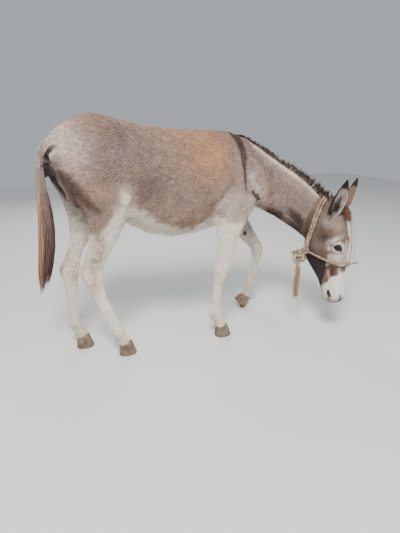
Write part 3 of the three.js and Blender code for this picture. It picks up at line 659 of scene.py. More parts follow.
def ear_surface(hand, share, turn, inward):
    """A point of an ear: share of its length, turn from its back in radians, depth in its wall."""
    root, along, opening, across = ear_frame(hand)
    half, deep = (size - inward for size in ear_size(share))
    deep = np.where(np.cos(turn) > 0, deep, 0.55 * deep)
    back = opening * (ear_bow(share) - (deep * np.cos(turn))[..., None])
    return root + along * (share * EAR_LENGTH)[..., None] + back + across * (half * np.sin(turn))[..., None]


def ear_wall(share):
    wall = np.interp(share, [0, 0.2, 0.5, 0.9, 1], [5, 4, 3.2, 2, 1]) * MM
    return np.minimum(wall, 0.5 * ear_size(share)[1])


def ear_reach(share):
    """How far round from its back an ear's wall goes, in radians."""
    return np.radians(np.interp(share, [0, 0.12, 0.3, 0.6, 0.9, 1], [165, 150, 122, 112, 118, 130]))


EAR_ROWS, EAR_COLUMNS = 64, 34


def turned_outward(points, tris):
    """The triangles of a closed surface, turned round if they face into it."""
    p = points[tris]
    inward = dot(p[:, 0], np.cross(p[:, 1], p[:, 2])).sum() < 0
    return tris[:, ::-1] if inward else tris


def ear_mesh(hand):
    share = np.linspace(0, 1, EAR_ROWS)[:, None] * np.ones(EAR_COLUMNS)
    turn = ear_reach(share) * np.linspace(-1, 1, EAR_COLUMNS)
    depth = ear_wall(share) + 0.3 * MM * np.sin(share * 31 + turn * 2)
    sheets = [ear_surface(hand, share, turn, 0 * share), ear_surface(hand, share, turn, depth)]
    n = EAR_ROWS * EAR_COLUMNS
    index = np.arange(n).reshape(EAR_ROWS, EAR_COLUMNS)
    a, b, c, d = index[:-1, :-1], index[:-1, 1:], index[1:, 1:], index[1:, :-1]
    quads = np.stack([a, b, c, d], -1).reshape(-1, 4)
    rim = np.concatenate([index[0, :-1], index[:-1, -1], index[-1, :0:-1], index[:0:-1, 0]])
    after = np.roll(rim, -1)
    strip = np.stack([rim, rim + n, after + n, after], 1)
    faces = np.vstack([quads, quads[:, ::-1] + n, strip])
    tri = np.vstack([faces[:, [0, 1, 2]], faces[:, [0, 2, 3]]])
    points = np.vstack([s.reshape(-1, 3) for s in sheets])
    return points, turned_outward(points, tri)


body_verts, body_tris = verts, tris
ears = [ear_mesh(1), ear_mesh(-1)]
verts, tris = united(body_verts, body_tris, ears)


def distance_to(places, points):
    """How far each point is from the nearest of some places."""
    return np.min(np.linalg.norm(points[:, None] - places, axis=2), axis=1)


# The ears run into the head without an edge.
ear_base = np.array([head_point(EAR_ROOT[0], hand * EAR_ROOT[1], EAR_ROOT[2]) for hand in (1, -1)])
near_base = np.where(distance_to(ear_base, verts) < 0.075)[0]
body_tree = BVHTree.FromPolygons(body_verts.tolist(), body_tris.tolist())
ear_points, ear_tris = joined(ears)
ear_tree = BVHTree.FromPolygons(ear_points.tolist(), ear_tris[0].tolist())
on_both = [all(tree.find_nearest(verts[i])[3] < 1e-4 for tree in (body_tree, ear_tree)) for i in near_base]
seam = verts[near_base[np.array(on_both)]]
seam_distance = np.full(len(verts), np.inf)
seam_distance[near_base] = distance_to(seam, verts[near_base])
edges = edges_of(tris)
verts = spread(verts, edges, 14, weight=hill(seam_distance, 0, 0.011))


# ---- which part of the animal each point of the skin is ---------------------------------------------
KINDS = ["trunk", "neck", "head", "ear", "tail", "fore", "hind"]


def kind_of(points):
    """For each point, a row that is 1 at its kind and 0 elsewhere."""
    names = [FLESH[k] for k in owner_of(points)]
    words = {"trunk": 0, "neck": 1, "head": 2, "tail_dock": 4}
    kind = np.array([words.get(n, 5 if n.startswith("fore") else 6) for n in names])
    for hand in (1, -1):
        root, along, _, _ = ear_frame(hand)
        far = dot(points - root, along) / EAR_LENGTH
        close = (far > 0.1) & (far < 1.1) & (np.linalg.norm(points - root, axis=1) < 1.15 * EAR_LENGTH)
        near = np.where(close)[0]
        on_ear = [i for i in near if ear_tree.find_nearest(points[i])[3] < 2.5 * MM]
        kind[on_ear] = 3
    return np.eye(len(KINDS))[kind]


# The coat's depth comes off the flesh.
edges = edges_of(tris)
part = spread(kind_of(verts), edges, 5)
COAT_DEPTH = np.array([4.5, 4.5, 1.6, 0.3, 2.5, 3.5, 3.5]) * MM  # for each kind
depth = part @ COAT_DEPTH
depth *= 1 - 0.5 * ramp(verts[:, 2], 0.55, 0.35) * part[:, 5:].sum(1)
verts = verts - normals_of(verts, tris) * spread(depth, edges, 6)[:, None]

# ---- the head: finer, then bones, lids, nostrils and lips --------------------------------------------
EYE_SLANT = math.radians(26)  # the slit's front corner is this far below level
LID_HALF, LID_UPPER, LID_LOWER = 16.5 * MM, 10.5 * MM, 7.5 * MM
NOSTRIL = (391 * MM, 46 * MM, -24 * MM)
NOSTRIL_HALF, NOSTRIL_WIDE = 17 * MM, 9 * MM
NOSTRIL_BEND = 12
MOUTH = np.array([[362, -86], [390, -77], [418, -67], [438, -58], [452, -50], [475, -42]]) * MM  # down, out


def eye_frame(hand):
    face, side = (v[0] for v in head_axes(np.array([EYE[0]])))
    outward = unit(side * hand * 0.93 + face * 0.36)
    slit = face * math.cos(EYE_SLANT) + HEAD_DOWN * math.sin(EYE_SLANT)
    slit = unit(slit - dot(slit, outward) * outward)
    upper = np.cross(slit, outward)
    return head_point(EYE[0], hand * EYE[1], EYE[2]), outward, slit, upper * np.sign(-dot(upper, HEAD_DOWN))


def eye_place(points, hand):
    """Along the slit, up, outward, and how many times as far as the lids' edge."""
    centre, outward, slit, upper = eye_frame(hand)
    away = points - centre
    u, t, w = dot(away, slit), dot(away, upper), dot(away, outward)
    edge = np.abs(t) / np.where(t > 0, LID_UPPER, LID_LOWER) + (u / LID_HALF) ** 2
    return u, t, w, np.where(w > -6 * MM, edge, 99.0)


def nostril_frame(hand):
    face, side = (v[0] for v in head_axes(np.array([NOSTRIL[0]])))
    outward = unit(side * hand * 0.85 + face * 0.5)
    long = unit(HEAD_DOWN * 0.87 + face * 0.5)
    long = unit(long - dot(long, outward) * outward)
    return head_point(NOSTRIL[0], hand * NOSTRIL[1], NOSTRIL[2]), outward, long, np.cross(outward, long)


def nostril_place(points, hand):
    """How many times as far from the middle as the opening's edge, within a short reach."""
    centre, outward, long, across = nostril_frame(hand)
    away = points - centre
    u, v = dot(away, long), dot(away, across) * hand
    v = v - NOSTRIL_BEND * u * np.abs(u)  # like a comma
    edge = np.hypot(u / NOSTRIL_HALF, v / NOSTRIL_WIDE)
    return np.where(np.abs(dot(away, outward)) < 26 * MM, edge, 99.0)


def mouth_distance(points):
    """Distance from the line where the lips meet, seen from the side, for points near it."""
    down, _, out = head_place(points)
    gap = line_distance(np.stack([down, out], 1), MOUTH)
    return np.where(np.abs(down - 0.41) < 0.09, gap, np.inf)


def away_from(points, place):
    """Distance to the nearer of a place of the head and its mirror image."""
    both = [head_point(place[0], hand * place[1], place[2]) for hand in (1, -1)]
    return np.minimum(*[np.linalg.norm(points - b, axis=1) for b in both])


def refine_where(verts, tris, wanted, rounds):
    """Finer triangles where wanted(points) says, then rounded."""
    verts, tris = refined(verts, tris, wanted(verts[tris].mean(1)))
    return spread(verts, edges_of(tris), rounds, weight=wanted(verts).astype(float), back=-0.52), tris


def fine_head(points):
    """The head, apart from the ears' roots, and the lowest part of the legs."""
    down, across, out = head_place(points)
    inside = (down > -0.05) & (down < 0.47) & (np.abs(across) < 0.12) & (out > -0.24) & (out < 0.06)
    return inside & (away_from(points, EAR_ROOT) > 0.03) | (points[:, 2] < 0.19)


def fine_face(points):
    near = (away_from(points, EYE) < 0.044) | (away_from(points, NOSTRIL) < 0.034)
    return near | (mouth_distance(points) < 0.013)


def eye_edge(points):
    return np.minimum(eye_place(points, 1)[3], eye_place(points, -1)[3])


def nostril_edge(points):
    return np.minimum(nostril_place(points, 1), nostril_place(points, -1))


def finer_face(points):
    return (eye_edge(points) < 3.2) | (nostril_edge(points) < 2.0) | (mouth_distance(points) < 0.006)


def head_lump(points, centre, radii, height):
    """A swelling or hollow at a place of the head, on both sides."""
    away = (head_numbers(points) - centre) / radii
    return height * MM * np.exp(-(away**2).sum(1))


def head_distance(points, line):
    """Distance in millimetres from a line given by the head's places, on both sides."""
    return line_distance(head_numbers(points), line)


def head_ridge(points, line, width, height):
    """A ridge or groove along a line of the head's places, on both sides."""
    return height * MM * hill(head_distance(points, line), 0, width)


HEAD_RIDGES = [  # line, width and height
    ([[178, 60, -52], [215, 54, -62], [262, 46, -58]], 9, 3.5),  # cheekbone
    ([[196, 58, -76], [250, 48, -82]], 12, -2.5),
    ([[126, 60, -8], [128, 58, 8]], 12, 2.5),  # brow
    ([[215, 26, 14], [330, 20, 14]], 8, 1.5),  # nasal bone's edge
    ([[235, 42, -10], [330, 40, -12]], 13, -2.0),
    ([[225, 50, -150], [290, 44, -112], [345, 40, -92]], 9, 1.8),  # jaw
    ([[300, 44, -75], [355, 42, -62]], 10, -2.0),
]
HEAD_LUMPS = [  # centre, radii and height
    ((118, 56, -40), (20, 14, 16), -4.5),  # hollow over the eye
    ((110, 62, -95), (26, 14, 18), -3.0),  # behind the jaw's joint
    ((372, 44, -52), (20, 14, 20), 2.0),  # corner of the mouth
    ((428, 0, -30), (16, 26, 18), 2.5),  # upper lip
]
verts, tris = refine_where(verts, tris, fine_head, 12)
on_head = fine_head(verts) * ramp(verts[:, 2], 0.15, 0.19) * (verts[:, 0] > 0.4)
lift = sum(head_ridge(verts, *row) for row in HEAD_RIDGES) + sum(head_lump(verts, *row) for row in HEAD_LUMPS)
verts = verts + normals_of(verts, tris) * (on_head * lift)[:, None]
verts, tris = refine_where(verts, tris, fine_face, 8)
verts, tris = refine_where(verts, tris, finer_face, 5)
verts, tris = refine_where(verts, tris, lambda p: eye_edge(p) < 2.0, 4)

# Lips part along a groove, nostrils sink in, and lids close round the eye.
normal = normals_of(verts, tris)
gap = mouth_distance(verts)
lip = hill(gap, 6.5 * MM, 4 * MM) * 1.8 * MM - hill(gap, 0, 2.0 * MM) * 5 * MM
verts = verts + normal * (lip * (gap < 0.03))[:, None]
down, across, out = head_place(verts)
split = hill(across, 0, 3 * MM) * ramp(down, 0.395, 0.41) * ramp(down, 0.446, 0.436)
split *= ramp(out, -25 * MM, -5 * MM)
verts = verts - normal * (split * 2.2 * MM)[:, None]
for hand in (1, -1):
    centre, outward, long, across = nostril_frame(hand)
    edge = nostril_place(verts, hand)
    inward = -unit(outward + 0.35 * HEAD_DOWN)
    sink = 15 * MM * ramp(edge, 1.12, 0.35)
    rim = 2.6 * MM * hill(edge, 1.38, 0.28)
    verts = verts + inward * sink[:, None] + outward * rim[:, None]
edges = edges_of(tris)
verts = spread(verts, edges, 3, weight=(nostril_edge(verts) < 2.0).astype(float), back=-0.5)
for hand in (1, -1):
    centre = eye_frame(hand)[0]
    u, t, w, edge = eye_place(verts, hand)
    away = verts - centre
    far = np.linalg.norm(away, axis=1)
    lid = EYE_RADIUS + (0.4 + 3.2 * ramp(edge, 1.0, 1.45)) * MM
    lid = lid + 1.3 * MM * hill(edge, 1.5, 0.25) * (t > 0) - 1.6 * MM * hill(edge, 2.15, 0.16) * (t > 0)
    lid = lid - 0.9 * MM * hill(edge, 1.95, 0.2) * (t < 0) + 0.6 * MM * hill(edge, 2.6, 0.2)
    target = np.where(edge < 1, EYE_RADIUS - 2.8 * MM, lid)
    amount = np.where(edge < 1, 1.0, ramp(edge, 3.2, 1.7)) * (w > -6 * MM)
    verts = verts + away / far[:, None] * (amount * (target - far))[:, None]
verts = spread(verts, edges, 2, weight=((eye_edge(verts) < 3.0) & (eye_edge(verts) > 1.06)).astype(float))

# ---- colours of the coat ---------------------------------------------------------------------------
def srgb(*values):
    """A colour given as 0 to 255 on a screen, as light."""
    v = np.array(values, float) / 255
    return np.where(v < 0.04045, v / 12.92, ((v + 0.055) / 1.055) ** 2.4)


def mottle(points, size, seed=0):
    """Smooth noise from -1 to 1 with lumps about size across."""
    place = np.asarray(points) / size
    cell = np.floor(place).astype(np.int64)
    part = place - cell
    part = part * part * (3 - 2 * part)
    total = np.zeros(len(place))
    for corner in np.ndindex(2, 2, 2):
        key = (cell + corner) @ np.array([73856093, 19349663, 83492791]) + seed * 7919
        key = ((key ^ (key >> 13)) * 1274126177) & 0xFFFFFFFF
        value = ((key ^ (key >> 16)) & 0xFFFF) / 32767.5 - 1
        total += value * np.prod(np.where(corner, part, 1 - part), axis=1)
    return total


def layered(points, size, seed=0):
    return (mottle(points, size, seed) + 0.5 * mottle(points, size / 2, seed + 1)
            + 0.25 * mottle(points, size / 4, seed + 2)) / 1.2


NECK_CREST = np.array([[300, 0, 985], [372, -4, 966], [462, -27, 909], [546, -62, 848], [612, -103, 801],
                       [668, -149, 746], [714, -196, 690], [754, -244, 656]]) * MM + SHIFT
NECK_UNDER = np.array([[395, 0, 645], [452, -16, 628], [490, -38, 604], [527, -54, 584], [572, -78, 553],
                       [622, -103, 517], [664, -124, 482], [704, -156, 460]]) * MM + SHIFT
NECK_STEPS = 10  # fine stations from one row of the neck's tables to the next
CREST_FINE, UNDER_FINE = (curve_points(line, 7 * NECK_STEPS + 1) for line in (NECK_CREST, NECK_UNDER))


def neck_place(points):
    """Along the neck from 0 at the withers to 7 at the poll, and down it from crest to underside."""
    best, along, drop = np.full(len(points), 9.0), np.zeros(len(points)), np.zeros(len(points))
    for k, (crest, under) in enumerate(zip(CREST_FINE, UNDER_FINE)):
        span = under - crest
        t = np.clip((points - crest) @ span / (span @ span), -0.2, 1.2)
        away = np.linalg.norm((points - crest - t[:, None] * span)[:, [0, 2]], axis=1)
        closer = away < best
        best[closer], along[closer], drop[closer] = away[closer], k / NECK_STEPS, t[closer]
    return along, drop


def ear_colour_place(points):
    """Share of the ear's length, turn from its back to the front (1) or rear (-1) rim, and 1 inside it."""
    share, turn, inside = (np.zeros(len(points)) for _ in range(3))
    for hand in (1, -1):
        root, along, opening, across = ear_frame(hand)
        near = np.where(np.linalg.norm(points - root - along * 0.1, axis=1) < 0.135)[0]
        away = points[near] - root
        s = dot(away, along) / EAR_LENGTH
        away = away - opening * ear_bow(s)
        a, b = dot(away, across), -dot(away, opening)
        half, deep = ear_size(s)
        deep = deep * np.where(b > 0, 1, 0.55)
        share[near] = s
        turn[near] = hand * np.arctan2(a / half, b / deep) / ear_reach(np.clip(s, 0, 1))
        wall = ear_wall(np.clip(s, 0, 1))
        inside[near] = np.hypot(a / half, b / deep) < 1 - 0.55 * wall / np.minimum(half, deep)
    return share, turn, inside


WHITE_EDGE = [[-0.75, 0.56], [-0.56, 0.57], [-0.45, 0.63], [-0.40, 0.69], [-0.34, 0.70], [-0.27, 0.685],
              [-0.235, 0.655], [-0.155, 0.612], [-0.07, 0.58], [-0.015, 0.60], [0.02, 0.636], [0.06, 0.635],
              [0.12, 0.60], [0.24, 0.60], [0.33, 0.62], [0.42, 0.56]]
STRIPE = [[0.192, 0.985], [0.206, 0.952], [0.210, 0.912], [0.211, 0.865], [0.207, 0.825], [0.199, 0.774],
          [0.197, 0.70]]
THIGH_BAND = [[-0.610, 0.884], [-0.588, 0.835], [-0.560, 0.803], [-0.527, 0.757], [-0.497, 0.722],
              [-0.475, 0.695]]


def coat_colour(points, normals, part):
    """Colour of the hair at each point; part says how much of each kind the point is."""
    x, z = points[:, 0], points[:, 2]
    left_of = points[:, 1] - MIDDLE
    side = np.abs(left_of)
    outward = np.sign(left_of) * normals[:, 1]
    trunk, neck, head, ear, tail, fore, hind = part.T
    legs = fore + hind
    body = trunk + legs
    coarse, fine = layered(points, 0.09, 3), layered(points, 0.016, 9)
    spots, speckle = layered(points, 0.03, 21), layered(points, 0.007, 33)
    streaks = layered(points * (1, 1, 0.35), 0.007, 41)
    ragged = 9 * fine + 6 * coarse
    along, drop = neck_place(points)
    drop = drop + 0.02 * fine
    down, across, out = head_numbers(points).T
    near_head = head + ear + neck * ramp(down, -60, 10) * (along > 5.5)
    under_rope = down - np.interp(out, [-150, -123, -98, -73, -49, -26, -2, 13],
                                  [178, 192, 205, 217, 229, 238, 246, 257])
    colour = np.tile(srgb(150, 127, 115), (len(points), 1))

    def paint(amount, *rgb):
        """Lays a colour over the ones so far, by an amount for each point."""
        colour[:] += np.clip(amount, 0, 1)[:, None] * (srgb(*rgb) - colour)

    def blob(px, pz, wide, high):
        return hill(x, px, wide) * hill(z, pz, high)

    def patch(px, pz, radius, strength, *rgb, stretch=1.0):
        paint(strength * body * blob(px, pz, radius, radius * stretch), *rgb)

    def stroke(where, line, width, *rgb, wobble=0.0):
        """Paint along a line drawn in side view."""
        paint(where * hill(side_distance(points, line) + wobble, 0, width), *rgb)

    def spot(d, c, o, radius, strength, *rgb):
        """Paint round a place of the head, on both sides."""
        away = ((down - d) ** 2 + (across - c) ** 2 + (out - o) ** 2) / radius**2
        paint(strength * near_head * np.exp(-away), *rgb)

    def streak(line, width, strength, *rgb):
        """Paint along a line of the head's places, on both sides."""
        paint(strength * head * hill(head_distance(points, line) + 2.5 * streaks, 0, width), *rgb)

    def barrel_and_rump():
        paint(0.55 * body * ramp(coarse, 0.0, 0.8), 138, 121, 116)
        paint(0.45 * body * ramp(coarse, 0.0, -0.8), 162, 137, 119)
        paint(0.4 * body * ramp(speckle, 0.1, 0.9), 104, 84, 77)
        paint(0.4 * body * ramp(z, 0.90, 1.0) * ramp(x, -0.25, -0.1), 168, 136, 118)
        patch(0.045, 0.895, 0.10, 0.8, 202, 148, 106)
        patch(-0.03, 0.95, 0.10, 0.4, 186, 144, 112)
        patch(-0.43, 1.03, 0.13, 0.7, 136, 110, 98, stretch=0.5)
        patch(-0.37, 0.90, 0.09, 0.7, 132, 116, 113)
        # The rump is paler: partly its own colour, partly painted light where the sun falls on it.
        patch(-0.595, 0.955, 0.085, 0.9, 206, 190, 184, stretch=1.2)
        patch(-0.55, 0.895, 0.06, 0.75, 198, 176, 166)
        patch(-0.265, 0.78, 0.075, 0.8, 108, 88, 82)
        patch(-0.07, 0.68, 0.10, 0.4, 158, 130, 114, stretch=0.6)
        patch(-0.459, 0.775, 0.035, 0.6, 176, 142, 116)
        patch(-0.435, 0.815, 0.04, 0.45, 128, 104, 94)
        band = body * hill(side_distance(points, THIGH_BAND), 0, 0.024 + 0.01 * fine) * ramp(z, 0.885, 0.82)
        paint(0.95 * band * (0.85 + 0.3 * spots), 80, 59, 48)
        paint(0.5 * band * ramp(speckle, 0.0, 0.8), 48, 34, 30)
        stroke(0.75 * body, [[-0.596, 0.835], [-0.574, 0.775], [-0.545, 0.72], [-0.525, 0.67]],
               0.020, 84, 66, 54, wobble=0.006 * spots)
        # A pale line along the buttock's rear edge: partly pale hair, partly a painted highlight.
        stroke(0.5 * body, [[-0.598, 0.80], [-0.580, 0.754], [-0.540, 0.66]], 0.006, 182, 158, 134)
        paint(0.4 * body * ramp(z, 0.98, 1.03) * ramp(x, -0.55, -0.5), 152, 126, 112)

    def shoulder():
        """The shoulder and arm, with the folds before and behind them, painted shade along the folds, and
        painted shade in the skin's creases at the point of the shoulder.
        """
        arm = body * ramp(x, 0.04, 0.12) * ramp(x, 0.36, 0.30)
        chest, chest_soft = body + neck, body + 0.6 * neck
        paint(0.85 * arm * ramp(z, 0.80, 0.67) * (0.85 + 0.3 * coarse), 202, 187, 178)
        patch(0.20, 0.83, 0.07, 0.5, 178, 156, 144)
        # Painted shade along the crease behind the arm.
        stroke(0.3 * body, [[0.155, 0.79], [0.08, 0.725], [0.037, 0.68], [0.015, 0.63]], 0.010, 112, 90, 80)
        stroke(0.6 * body, [[0.10, 0.70], [0.064, 0.672], [0.045, 0.64]], 0.010, 206, 196, 188)
        breast = 0.7 * chest_soft * ramp(z, 0.90, 0.82)
        stroke(breast, [[0.272, 0.89], [0.300, 0.816], [0.318, 0.753], [0.327, 0.69]], 0.018, 204, 168, 144)
        # Painted shadow line in front of the breast's fold.
        stroke(0.5 * chest, [[0.325, 0.86], [0.337, 0.78], [0.345, 0.70]], 0.010, 122, 100, 90)
        pale = 0.8 * (body + 0.4 * neck) * (0.8 + 0.5 * spots)
        stroke(pale, [[0.250, 0.80], [0.254, 0.775], [0.266, 0.735]], 0.025, 216, 204, 198)
        # Painted shade in the skin's creases at the point of the shoulder: a dark patch and jagged dark
        # lines.
        chest_crease_shade = blob(0.285, 0.69, 0.04, 0.03) * (0.75 + spots)
        paint(0.85 * ramp(chest_crease_shade, 0.45, 0.75) * chest, 66, 51, 48)
        upper_crease_shade = side_distance(points, [[0.236, 0.730], [0.252, 0.708], [0.263, 0.701], [0.276, 0.678]])
        lower_crease_shade = side_distance(points, [[0.262, 0.712], [0.281, 0.708], [0.286, 0.692], [0.301, 0.684]])
        jagged = np.minimum(upper_crease_shade, lower_crease_shade) + 0.004 * spots
        paint(0.95 * hill(jagged, 0, 0.0068 + 0.003 * fine) * chest, 44, 32, 31)

    def stripes():
        """Over the shoulders and along the back."""
        width = np.interp(z, [0.70, 0.83, 0.90, 0.95, 1.0], [0.003, 0.0085, 0.014, 0.020, 0.026])
        width += 0.0025 * fine
        stripe = ramp(side_distance(points, STRIPE) - width, 0.005, -0.003) * ramp(z, 0.69, 0.76)
        paint(0.92 * stripe * (body + neck), 74, 52, 46)
        back = ramp(side + 0.004 * fine, 0.016, 0.008) * ramp(z, 0.93, 0.96) * ramp(x, 0.24, 0.2)
        paint(0.75 * body * back, 92, 68, 56)

    def white_below():
        """White underneath and down the legs, ragged where it meets the brown."""
        edge_x, edge_z = np.array(WHITE_EDGE).T
        below = np.interp(x, edge_x, edge_z) + 0.010 * coarse + 0.010 * fine + 0.005 * speckle - z
        paint(0.4 * body * hill(below, -0.02, 0.03) * hill(x, -0.09, 0.2), 180, 148, 120)
        low = ramp(below, -0.014, 0.020) * body
        paint(low * (0.95 - 0.1 * ramp(coarse, 0.2, 0.8)), 232, 222, 208)
        paint(0.9 * ramp(outward, -0.1, -0.5) * ramp(z, 0.86, 0.74) * legs, 214, 203, 190)
        patch(-0.357, 0.737, 0.027, 1.0, 234, 222, 208, stretch=1.2)
        patch(-0.352, 0.775, 0.026, 0.5, 196, 176, 160)
        paint(0.6 * hind * ramp(x, -0.43, -0.38) * ramp(z + 0.02 * fine, 0.735, 0.68), 222, 210, 198)

    def leg_marks():
        """Dust, tan joints, flecks, dark marks on the left hind leg, and the dark calluses inside the
        forelegs.
        """
        paint(0.5 * legs * hill(z, 0.64, 0.035) * ramp(fine + coarse, -0.1, 0.6), 184, 168, 154)
        paint(0.4 * fore * hill(z, 0.605, 0.02) * ramp(x, 0.16, 0.12), 196, 164, 134)
        paint(0.35 * legs * ramp(z, 0.5, 0.3) * ramp(coarse, -0.1, 0.7), 202, 188, 170)
        paint(0.4 * legs * ramp(z, 0.16, 0.06), 186, 168, 148)
        paint(0.55 * fore * hill(z, 0.32, 0.03) * ramp(normals[:, 0], 0.2, 0.7), 150, 122, 100)
        paint(0.45 * hind * hill(z, 0.43, 0.05) * ramp(normals[:, 0], -0.2, -0.7), 170, 146, 122)
        for callus in ((0.327, 0.178, 0.470), (0.127, 0.006, 0.468)):
            away = ((points - np.array(callus)) / np.array([0.011, 0.012, 0.017])) ** 2
            paint(0.95 * fore * ramp(away.sum(1), 1.5, 0.7), 58, 46, 42)
        # Small dark marks on the left hind leg.
        dark_marked = 0.7 * hind * ramp(speckle + 0.4 * spots, 0.05, 0.35) * (left_of > 0)
        dark_mark_line = [[-0.562, 0.432], [-0.572, 0.405], [-0.584, 0.385], [-0.592, 0.372]]
        stroke(dark_marked, dark_mark_line, 0.009, 84, 70, 66)
        tan_hocks = blob(-0.507, 0.352, 0.022, 0.034) + blob(-0.575, 0.35, 0.020, 0.03)
        paint(0.65 * hind * tan_hocks, 192, 154, 124)
        paint(0.5 * fore * blob(0.073, 0.338, 0.022, 0.026), 196, 162, 132)
        near_leg = hind * (left_of < 0) * ramp(outward, -0.1, 0.3)
        flecks = (0.55 + 0.6 * ramp(speckle + 0.5 * spots, -0.3, 0.4)) * ramp(z, 0.42, 0.48)
        stroke(0.8 * near_leg * flecks, [[-0.478, 0.60], [-0.478, 0.52], [-0.500, 0.47], [-0.508, 0.43]],
               0.032, 138, 115, 104)
        stroke(0.6 * near_leg, [[-0.506, 0.445], [-0.511, 0.40], [-0.513, 0.37]], 0.013, 190, 150, 120,
               wobble=0.005 * fine + 0.004 * spots)

    # Painted shade in the cleft between the buttocks, and on the far buttock's inner wall.
    def shade_in_cleft():
        cleft = body * ramp(before_rear(points), 0.075, 0.05) * ramp(z, 0.912, 0.885)
        left_wall = ramp(left_of, 0.07, 0.04) * ramp(left_of, -0.002, 0.012) * ramp(z, 0.72, 0.78)
        paint(0.7 * cleft * left_wall, 92, 80, 72)
        wide = np.interp(z, [0.70, 0.82, 0.90], [0.013, 0.021, 0.016])
        middle = ramp(np.abs(left_of + 0.006), 1.3 * wide, 0.6 * wide) * ramp(z, 0.70, 0.76)
        paint(0.97 * cleft * middle, 34, 26, 24)

    def neck_from_crest_to_throat():
        paint(0.85 * neck, 148, 129, 118)
        paint(0.5 * neck * ramp(coarse, -0.1, 0.7), 138, 119, 110)
        paint(0.3 * neck * ramp(speckle, 0.1, 0.9), 108, 90, 82)
        paint(0.5 * neck * hill(drop, 0.20, 0.10) * ramp(along, 0.6, 2), 178, 158, 148)
        crest = hill(drop, 0.075, 0.06) * ramp(along, 0.4, 1.2) * (1 - 0.3 * ramp(along, 5, 6.6))
        paint(0.92 * neck * crest, 230, 212, 202)
        paint(0.35 * neck * hill(drop, 0.5, 0.2) * ramp(along, 3.0, 4.5), 136, 118, 110)
        # Painted shade: darker in the jugular groove, along the underside, and at the throat under the head.
        groove = ramp(along, 3.0, 4.0) * ramp(drop + 0.02 * coarse, 0.64, 0.75) * (0.9 + 0.2 * spots)
        paint(0.93 * neck * groove, 50, 38, 35)
        paint(0.8 * neck * ramp(along, 1.6, 2.4) * ramp(along, 3.6, 3.0) * ramp(drop, 0.82, 0.9), 70, 55, 50)
        middle = neck * ramp(along, 2.8, 3.6) * ramp(along, 5.4, 4.6)
        paint(0.7 * middle * hill(drop, 0.875, 0.020), 150, 126, 114)
        paint(0.4 * middle * hill(drop, 0.965, 0.020), 132, 108, 98)
        paint(0.9 * neck * ramp(drop, 0.88, 0.96) * ramp(along, 1.0, 1.8) * ramp(along, 4.0, 2.8), 60, 46, 43)
        paint(0.8 * neck * ramp(drop, 0.55, 0.72) * ramp(along, 5.6, 6.6), 62, 49, 45)
        paint(0.75 * neck * ramp(drop + 0.03 * coarse, 0.70, 0.84) * ramp(along, 3.9, 4.8), 56, 45, 41)
        paint(0.6 * neck * ramp(drop, 0.93, 1.02) * ramp(along, 4.8, 5.6), 158, 152, 150)

    def dock():
        """The tail's root, and the shade between it and the buttocks."""
        paint(0.9 * tail, 160, 145, 140)
        # Painted shade on the dock's front, which faces the buttocks.
        paint(0.85 * tail * ramp(normals[:, 0], -0.1, 0.5) * ramp(z, 0.925, 0.90), 78, 62, 56)
        paint(0.75 * tail * ramp(z, 0.86, 0.77), 138, 108, 88)
        reach = np.interp(z, [0.82, 0.88, 0.945], [0.050, 0.039, 0.014]) + 0.004 * fine
        before = before_dock(points)
        shade = ramp(before, 0.009, 0.017) * ramp(before, reach + 0.008, reach - 0.005)
        shade *= ramp(z, 0.945, 0.925)
        paint(0.95 * shade * (tail + body * ramp(z, 0.78, 0.81)), 42, 33, 30)

    def brow_and_cheek():
        paint(0.95 * head, 114, 92, 82)
        paint(0.8 * head * ramp(out, -25, 5) * ramp(down, 150, 90), 134, 111, 98)
        paint(0.5 * head * ramp(fine, 0.0, 0.8), 142, 119, 105)
        paint(0.45 * head * ramp(speckle, 0.0, 0.8), 78, 61, 54)
        spot(56, 43, -14, 22, 0.5, 188, 166, 152)
        spot(34, 51, -62, 34, 0.8, 172, 156, 150)
        spot(104, 63, -72, 30, 0.85, 54, 41, 37)
        spot(78, 58, -95, 38, 0.7, 76, 60, 55)
        spot(176, 62, -87, 30, 0.5, 112, 86, 72)
        # Below the rope the cheek is dark: partly the hair's own colour, partly the rope's painted shadow.
        jaw_edge = np.interp(down, [236, 254, 272, 300, 340], [-28, -38, -56, -66, -78])
        jaw = ramp(out + 0.6 * ragged, jaw_edge + 8, jaw_edge - 14) * ramp(under_rope + 0.5 * ragged, -4, 12)
        paint(0.6 * head * ramp(under_rope + ragged, -40, 5) * ramp(out, -70, -100), 84, 67, 60)
        paint(0.95 * head * jaw, 42, 33, 31)
        # Painted shade at the throat, under the head.
        paint(0.75 * head * ramp(out, -115, -165) * ramp(down, 230, 170), 62, 50, 46)

    def mask():
        """The pale front of the face, the ring round the eye and the brow over it."""
        front = head * ramp(out + 0.5 * ragged, -42, -14) * ramp(down + 1.6 * ragged + 10 * speckle, 118, 152)
        front *= ramp(down + 0.3 * ragged, 256, 246)
        paint(0.88 * front * (0.9 + 0.2 * coarse), 208, 192, 185)
        paint(0.3 * front * ramp(speckle + 0.5 * spots, 0.1, 0.7), 150, 130, 122)
        under_eye = ramp(down, 184, 196) * ramp(out + ragged, -64, -48)
        under_eye *= ramp(down + 0.9 * (out + 30) + ragged, 236, 222)
        paint(0.8 * head * under_eye, 202, 184, 176)
        paint(0.92 * head * ramp(eye_edge(points) + 0.2 * fine, 3.9, 3.0), 214, 198, 190)
        brow = hill(out + ragged, -26, 24) * hill(down + 0.45 * (out + 10) + 0.5 * ragged, 112, 13)
        paint(0.9 * head * brow, 224, 210, 204)
        spot(159, 65, -50, 11, 0.75, 212, 197, 190)
        spot(200, 47, -8, 18, 0.7, 226, 210, 200)

